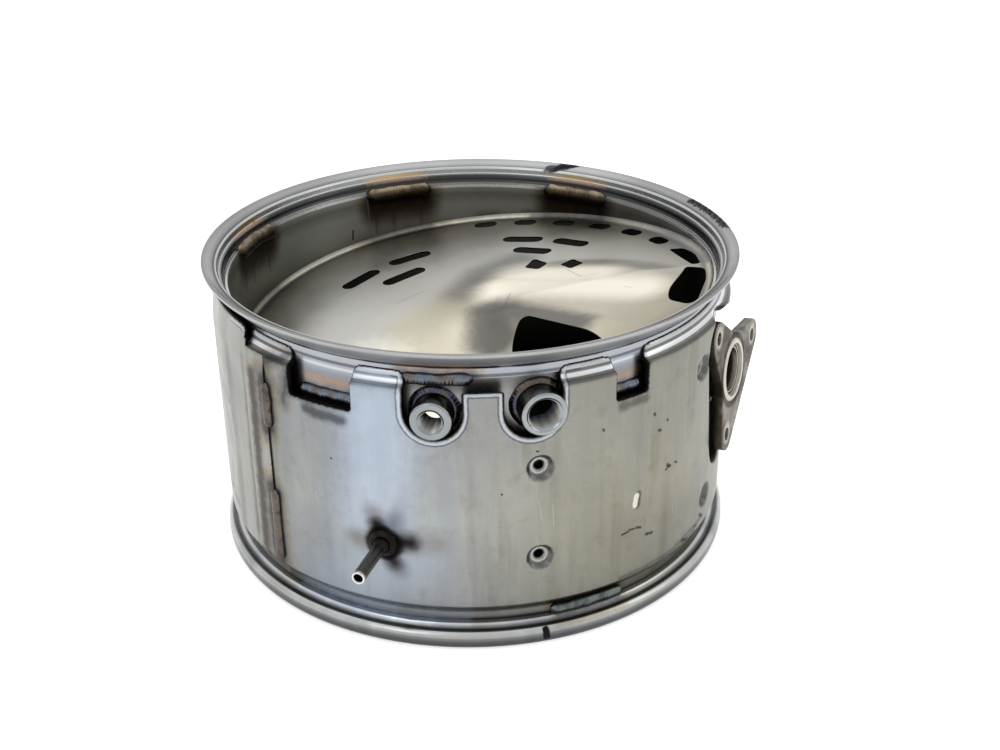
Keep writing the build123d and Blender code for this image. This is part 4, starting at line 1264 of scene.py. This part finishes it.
def make_outlet_flange_skin():
    skin = Skin("outlet ring steel", (190, 191, 190), 0.24, grain=0.0, cloud=0.45, bump=0.06)
    tree = skin.tree
    # Painted highlights and shade in bands by height: dark low on the bead, bright at its top and on the
    # ledges
    skin.shade(tree.math("MULTIPLY", tree.split(skin.place)["Z"], 0.05), [
        (0.0, 60, 61, 64), (0.12, 88, 89, 92), (0.28, 126, 127, 130), (0.4, 176, 178, 180),
        (0.48, 240, 242, 243), (0.575, 255, 255, 255), (0.6, 92, 93, 96), (0.64, 150, 152, 154),
        (0.68, 206, 208, 210), (0.715, 255, 255, 255), (0.75, 236, 237, 238), (0.775, 84, 85, 88),
        (0.84, 140, 141, 144), (1.0, 180, 180, 180),
    ])
    sway = tree.noise(tree.moved(skin.place, scale=(1, 1, 0.2)), 0.02, 3, 0.5)
    skin.shade(sway, [(0.32, 206, 208, 212), (0.5, 255, 255, 255), (0.7, 236, 234, 226)])
    # Painted cool highlights along the ledge at the front
    for turn in (228, 236, 244, 252, 260):
        line = radial(turn, 167, 16), radial(turn + 8, 167, 16)
        skin.stroke(*line, 4.5, (196, 208, 228), 0.22, soft=0.8, strength=0.5, ragged=0.4)
    skin.stroke(radial(283.9, 175, 5), radial(283.7, 173.5, 10), 2.7, (28, 28, 31), 0.5, soft=0.4, ragged=0.6)
    skin.stroke(radial(256.4, 174, 0.5), radial(258, 174, 0.5), 2.0, (40, 40, 42), 0.5, ragged=1.0)
    skin.place = tree.group(unrolled_wall, Vector=skin.position, Radius=can_radius)["Vector"]
    skin.temper([(at(287, 15, can_radius), at(302, 15, can_radius))], reach=7, soot=0.5, tint=0.6)
    return skin.done()


# Inlet baffle: smooth bright sheet, warm on the plateau and dull in the riser's shadow
def make_baffle_skin():
    skin = Skin("baffle sheet", (202, 201, 196), 0.36, grain=0.05, cloud=0.4, bump=0.06)
    tree = skin.tree
    flat = tree.moved(skin.place, scale=(1, 1, 0))
    skin.place = flat
    drift = tree.wobble(flat, 0.014, 3, 0.55, 34)
    warm = tree.fade(tree.math("ADD", tree.vector("DISTANCE", flat, (40, -50, 0)), drift), 118, 84)
    skin.colour = tree.mix(warm, skin.colour, (*srgb(253, 247, 232), 1), "MULTIPLY")
    reach = tree.vector("LENGTH", flat)
    # Painted shade towards the rim, and a thin painted highlight on the rim's curl
    skin.shade(tree.math("MULTIPLY", reach, 1 / 160), [
        (0.0, 240, 240, 236), (0.62, 255, 255, 255), (0.86, 228, 225, 218), (0.94, 200, 197, 190),
        (0.966, 150, 148, 142), (0.98, 238, 234, 224), (0.988, 226, 222, 214), (0.994, 150, 148, 144),
    ])
    # A painted pool of light low on the left
    skin.smudge([((-66, -50, 0), (-34, -112, 0))], 44, (250, 246, 236), 0.6, 0.6)
    # A band of painted shade above and left of the plateau's bright edge
    skin.smudge([((-6, 28, 0), (8, 56, 0)), ((8, 56, 0), (34, 72, 0))], 24, (126, 125, 121), 0.75, 0.25)
    # Painted light along the plateau's edge
    lit = [((22, 22, 0), (50, 8, 0)), ((50, 8, 0), (110, -28, 0)), ((34, 42, 0), (84, 12, 0))]
    skin.smudge(lit, 30, (253, 248, 234), 0.85, 0.2)
    shadow = [
        ((12, -2, 0), (30, -28, 0)), ((30, -28, 0), (66, -66, 0)), ((8, -6, 0), (6, -34, 0)),
        ((12, -10, 0), (13, -42, 0)), ((16, -14, 0), (20, -44, 0)),
    ]
    skin.smudge(shadow, 19, (92, 91, 92), 0.8, 0.4)
    # The rim's painted highlight dimmed on the right with painted shade
    rim_places = [radial(angle, bore_radius - 2) for angle in (72, 50, 25, 0)]
    skin.smudge(list(zip(rim_places, rim_places[1:])), 7, (132, 132, 130), 0.8, 0.3)
    for angle, length in zip(inner_stitches, (20, 24, 22, 14, 12)):
        ends = [radial(angle + turn, bore_radius - 2) for turn in (-stitch_half, stitch_half)]
        skin.temper([ends], reach=length, soot=0.2, tint=0.55)
    for start, end, width, tone in [
        ((26, 10), (20, -16), 1.6, 118), ((6, 26), (-18, 36), 1.2, 150), ((-34, 38), (-52, 24), 1.6, 150),
        ((66, 34), (74, 14), 1.2, 140), ((74, 14), (86, 12), 0.8, 140), ((-80, 60), (-96, 48), 2.2, 160),
        ((-20, -60), (-44, -78), 1.0, 160), ((100, -20), (104, -24), 0.7, 130),
    ]:
        skin.stroke(start, end, width, (tone, tone - 4, tone - 10), 0.4, soft=0.9, strength=0.3, ragged=1.4)
    speck = tree.noise(flat, 0.5, 2, 0.6)
    skin.cover(tree.fade(speck, 0.74, 0.8, 0.0, 0.4), (130, 124, 112), 0.4)
    # The openings' walls and turned-down lips painted dark, as painted shade
    inner = tree.fade(reach, bore_radius - 3, bore_radius - 6)
    cut = tree.math("MULTIPLY", tree.fade(skin.edge(), 0.1, -0.25), inner)
    skin.cover(cut, (12, 12, 12), 0.7)
    return skin.done()


# Inside of the can: dull steel, darker deeper down as painted shade and with a painted highlight near its
# top, with soot and painted shadow running down from the stitches
def make_can_skin():
    skin = Skin("can steel", (154, 154, 151), 0.36, grain=0.3, cloud=0.6, bump=0.1, radius=bore_radius)
    tree = skin.tree
    parts = tree.split(skin.place)
    turn = tree.math("MULTIPLY_ADD", parts["X"], 1 / (math.tau * bore_radius), 0.5)
    skin.shade(turn, [
        (0.0, 206, 203, 198), (0.1, 206, 206, 204), (0.19, 204, 208, 204), (0.3, 216, 217, 214),
        (0.5, 255, 255, 255), (0.86, 204, 204, 204), (0.93, 190, 187, 182), (1.0, 206, 203, 198),
    ])
    # Painted shade deeper in the can, and a painted highlight just below its top
    skin.shade(tree.math("MULTIPLY", parts["Y"], 0.005), [
        (0.5, 70, 69, 67), (0.575, 196, 195, 192), (0.84, 246, 248, 250), (0.885, 200, 200, 200),
        (0.905, 255, 255, 255), (0.925, 255, 255, 255),
    ])
    # A painted highlight on the can's top edge
    skin.band(parts["Y"], can_top - 1.6, can_top + 0.5, 0.6, (214, 214, 212), 0.8, 0.2)
    wall = tree.vector("LENGTH", tree.moved(skin.position, scale=(1000, 1000, 0)))
    skin.limit = tree.fade(wall, bore_radius + 1.1, bore_radius + 0.5)

    def inside(angle, height):
        return at(angle, height, bore_radius)

    for angle in inner_stitches:
        left, right = angle - stitch_half, angle + stitch_half
        # Below each stitch: soot and the bead's painted shadow, darkest just under the bead
        for height, reach, tone, strength in [
            (166, 17, (60, 49, 40), 0.7), (173, 18, (34, 27, 22), 0.92), (180, 10, (16, 13, 11), 0.95),
        ]:
            skin.smudge([(inside(left + 1, height), inside(right - 1, height))], reach, tone, strength, 0.3)
        skin.temper([(inside(left, 180), inside(right, 180))], reach=16, soot=0.2, tint=0.7)
        for shift in (-6, 1.5, 6.5):
            run = inside(angle + shift, 172), inside(angle + shift * 1.06, 152)
            skin.stroke(*run, 4.0, (44, 38, 33), 0.5, soft=1.0, thin=0.35, strength=0.4, ragged=0.7)
    skin.limit = None
    seam = inside(119.2, 183), inside(118.4, 140)
    skin.stroke(*seam, 0.9, (96, 96, 92), 0.3, soft=0.6, strength=0.5, ragged=0.3)
    skin.stroke(inside(124, 158), inside(124.2, 151), 0.8, (36, 36, 34), 0.5, soft=0.5)
    for (angle, _, edge), span in zip(outer_stitches, (15, 15, 10)):
        burnt = inside(angle - span / 2, edge - 4), inside(angle + span / 2, edge - 4)
        skin.stroke(*burnt, 8, (84, 76, 74), 0.4, soft=1.0, strength=0.5, ragged=0.6)
    return skin.done()


def make_bead_skin(name, colour, second, crest_highlight):
    """A weld bead: ripples, scale, a drift between two temper colours, and painted shade rising to a painted
    highlight on its top, between two heights.
    """
    skin = Skin(name, colour, 0.3, grain=0.1, cloud=0.5, bump=0.35)
    tree = skin.tree
    drift = tree.noise(skin.place, 0.1, 3, 0.6)
    skin.cover(tree.fade(drift, 0.42, 0.6), second)
    scale = tree.noise(skin.place, 0.55, 4, 0.65)
    skin.cover(tree.fade(scale, 0.58, 0.7, 0.0, 0.3), (36, 33, 31), 0.5)
    skin.height = tree.noise(skin.place, 1.6, 3, 0.6)
    # Painted shade low on the bead, rising to a painted highlight on its top
    if crest_highlight:
        skin.shade(tree.fade(tree.split(skin.place)["Z"], *crest_highlight), [
            (0.0, 44, 42, 40), (0.45, 92, 88, 82), (0.75, 150, 144, 134), (0.92, 255, 255, 255),
        ])
    return skin.done(0.0003)


def make_boss_skin(name, angle):
    skin = Skin(name, (152, 156, 158), 0.2, grain=0.1, cloud=0.7, bump=0.12)
    tree = skin.tree
    reach = tree.math("SUBTRACT", skin.toward(radial(angle, 1)), can_radius - 1)
    drift = tree.wobble(skin.place, 0.12, 3, 0.6, 8)
    skin.shade(tree.math("MULTIPLY", tree.math("ADD", reach, drift), 1 / 17), [
        (0.0, 48, 46, 50), (0.22, 86, 86, 100), (0.42, 150, 142, 140), (0.62, 196, 188, 172),
        (0.85, 240, 240, 236), (1.0, 255, 255, 255),
    ])
    scuff = tree.noise(skin.place, 0.8, 4, 0.7)
    skin.cover(tree.fade(scuff, 0.6, 0.72, 0.0, 0.5), (120, 118, 112), 0.4)
    return skin.done()


def make_tube_skin():
    skin = Skin("tap tube steel", (104, 98, 91), 0.28, grain=0.3, cloud=0.7, bump=0.2)
    tree = skin.tree
    far = skin.toward(radial(tap_angle, 1))
    skin.cover(tree.fade(far, 206.4, 207.4), (216, 214, 208))
    skin.cover(tree.fade(far, 186, 176, 0.0, 0.85), (38, 34, 31), 0.5)
    return skin.done()


def make_doser_skin():
    skin = Skin("doser casting", (104, 97, 86), 0.34, grain=0.2, cloud=0.9, bump=0.5)
    tree = skin.tree
    cast = tree.noise(skin.place, 0.35, 4, 0.65)
    skin.height = cast
    soot = tree.noise(skin.place, 0.06, 4, 0.6)
    skin.cover(tree.fade(soot, 0.42, 0.56, 0.0, 0.75), (66, 56, 45), 0.5)
    gap = tree.vector("DISTANCE", skin.place, doser_place)
    skin.band(gap, 22.0, 24.5, 1.6, (44, 37, 30), 0.75, 0.5)
    skin.band(gap, 17.4, 20.4, 0.7, (206, 202, 190), 0.85, 0.22)
    skin.band(gap, 15.8, 16.6, 0.6, (70, 62, 52), 0.7, 0.5)
    skin.band(gap, 14.2, 15.0, 0.5, (196, 192, 182), 0.7, 0.22)
    below = tree.math("SUBTRACT", skin.toward(doser_normal), doser_place.dot(doser_normal))
    skin.cover(tree.fade(below, -2.5, -7, 0.0, 0.85), (52, 42, 32), 0.5)
    for place in lobe_places:
        lobe = doser_place + doser_across * place.x + doser_up * place.y
        skin.stroke(lobe, lobe + doser_up, 8.5, (188, 184, 174), 0.28, soft=0.4, strength=0.6, ragged=0.5)
    return skin.done(0.0003)


def make_fibre_skin():
    # The mat, light fibre in itself, is given a dark colour as painted shade for the shadowed gaps where it
    # shows
    skin = Skin("fibre mat", (74, 69, 62), 0.9, grain=0.4, cloud=0.8, bump=0.6, metallic=0.0)
    skin.height = skin.tree.noise(skin.place, 0.8, 5, 0.7)
    return skin.done(0.0008)


finish = {}
# Each bead's name, colour, second colour, and the heights between which painted shade rises to a painted
# highlight
for name, colour, second, crest_highlight in [
    ("inner bead", (136, 124, 106), (104, 94, 82), (can_top - 6, can_top + 3.4)),
    ("outer bead", (104, 112, 126), (98, 90, 84), None),
    ("foot bead", (104, 112, 108), (78, 82, 84), None),
    ("seam bead", (98, 90, 82), (72, 69, 68), None),
    ("boss bead", (74, 74, 92), (92, 84, 76), None),
    ("tap bead", (26, 24, 23), (36, 31, 28), None),
    ("doser bead", (88, 74, 58), (58, 50, 43), None),
]:
    finish[name] = make_bead_skin(name, colour, second, crest_highlight)
make_front_shield(make_shield_skin())
make_rear_shield(make_rear_skin())
make_inlet_flange(make_inlet_flange_skin())
make_outlet_flange(make_outlet_flange_skin())
make_baffle(make_baffle_skin())
make_welds(finish)
port_skin = make_boss_skin("port steel", temperature_angle)
make_boss("temperature_port", "temperature_boss", temperature_angle, temperature_drop, 12, 6.19, port_skin)
gas_port_skin = make_boss_skin("gas port steel", gas_angle)
make_boss("gas_port", "gas_sensor_boss", gas_angle, gas_drop, 13.5, 9.19, gas_port_skin)
make_tap(make_tube_skin())
make_doser_mount(make_doser_skin())
make_doser_bead(finish["doser bead"])
plain = {
    "inner_can": make_can_skin(),
    "insulation_mat": make_fibre_skin(),
    # The lower baffle sheet is darkened as painted shade, deep in the can
    "outlet_baffle": Skin("lower baffle sheet", (84, 83, 80), 0.4, cloud=0.6).done(),
    "shield_inserts": Skin("weld nut steel", (62, 58, 52), 0.38, cloud=0.6).done(),
}
for node, skin in plain.items():
    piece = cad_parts[node]
    piece.data.materials.clear()
    piece.data.materials.append(skin)
# Studio: pale floor, white backdrop and soft lamps
def seen_rays(tree):
    """1 where the camera sees the place, straight, through something or in a reflection."""
    ray = tree.add("ShaderNodeLightPath").outputs
    seen = tree.math("MAXIMUM", ray["Is Camera Ray"], ray["Is Transmission Ray"])
    return tree.math("MAXIMUM", seen, ray["Is Glossy Ray"])


def make_floor():
    form = bmesh.new()
    bmesh.ops.create_circle(form, cap_ends=True, segments=96, radius=6)
    mesh = bpy.data.meshes.new("floor")
    form.to_mesh(mesh)
    form.free()
    floor = bpy.data.objects.new("floor", mesh)
    bpy.context.scene.collection.objects.link(floor)
    material, tree, shader = new_material("floor")
    shader.inputs["Base Color"].default_value = (0.8, 0.8, 0.8, 1)
    shader.inputs["Roughness"].default_value = 0.9
    shader.inputs["Specular IOR Level"].default_value = 0.0
    shader.inputs["Emission Color"].default_value = (1, 1, 1, 1)
    tree.set(shader.inputs["Emission Strength"], tree.math("MULTIPLY", seen_rays(tree), 0.62))
    mesh.materials.append(material)


def make_world():
    world = bpy.data.worlds.new("studio")
    bpy.context.scene.world = world
    world.use_nodes = True
    tree = Tree(world.node_tree)
    background = world.node_tree.nodes["Background"]
    direction = tree.add("ShaderNodeTexCoord").outputs["Generated"]
    sky = tree.ramp(
        tree.fade(tree.split(direction)["Z"], -0.1, 1.0),
        [(0.0, (0.55, 0.55, 0.56)), (0.45, (0.62, 0.62, 0.64)), (1.0, (0.95, 0.95, 0.95))],
    )
    tree.set(background.inputs["Color"], tree.mix(seen_rays(tree), sky, (1, 1, 1, 1)))
    background.inputs["Strength"].default_value = 1.0


def make_lamp(name, place, aim, width, height, power):
    data = bpy.data.lights.new(name, "AREA")
    data.shape = "RECTANGLE"
    data.size, data.size_y = width, height
    data.energy = power
    lamp = bpy.data.objects.new(name, data)
    lamp.location = place
    lamp.rotation_mode = "QUATERNION"
    lamp.rotation_quaternion = (Vector(aim) - Vector(place)).to_track_quat("-Z", "Y")
    bpy.context.scene.collection.objects.link(lamp)


make_camera()
make_floor()
make_world()
make_lamp("overhead softbox", (-0.2, 0.3, 1.7), (0, 0, 0.1), 1.6, 1.2, 3.6)
make_lamp("front softbox", (-0.9, -1.3, 1.2), (0, 0, 0.1), 0.7, 1.0, 2.2)
make_lamp("right softbox", (1.5, -0.3, 0.9), (0, 0, 0.1), 0.5, 1.0, 1.6)
bpy.context.scene.view_settings.view_transform = "Standard"
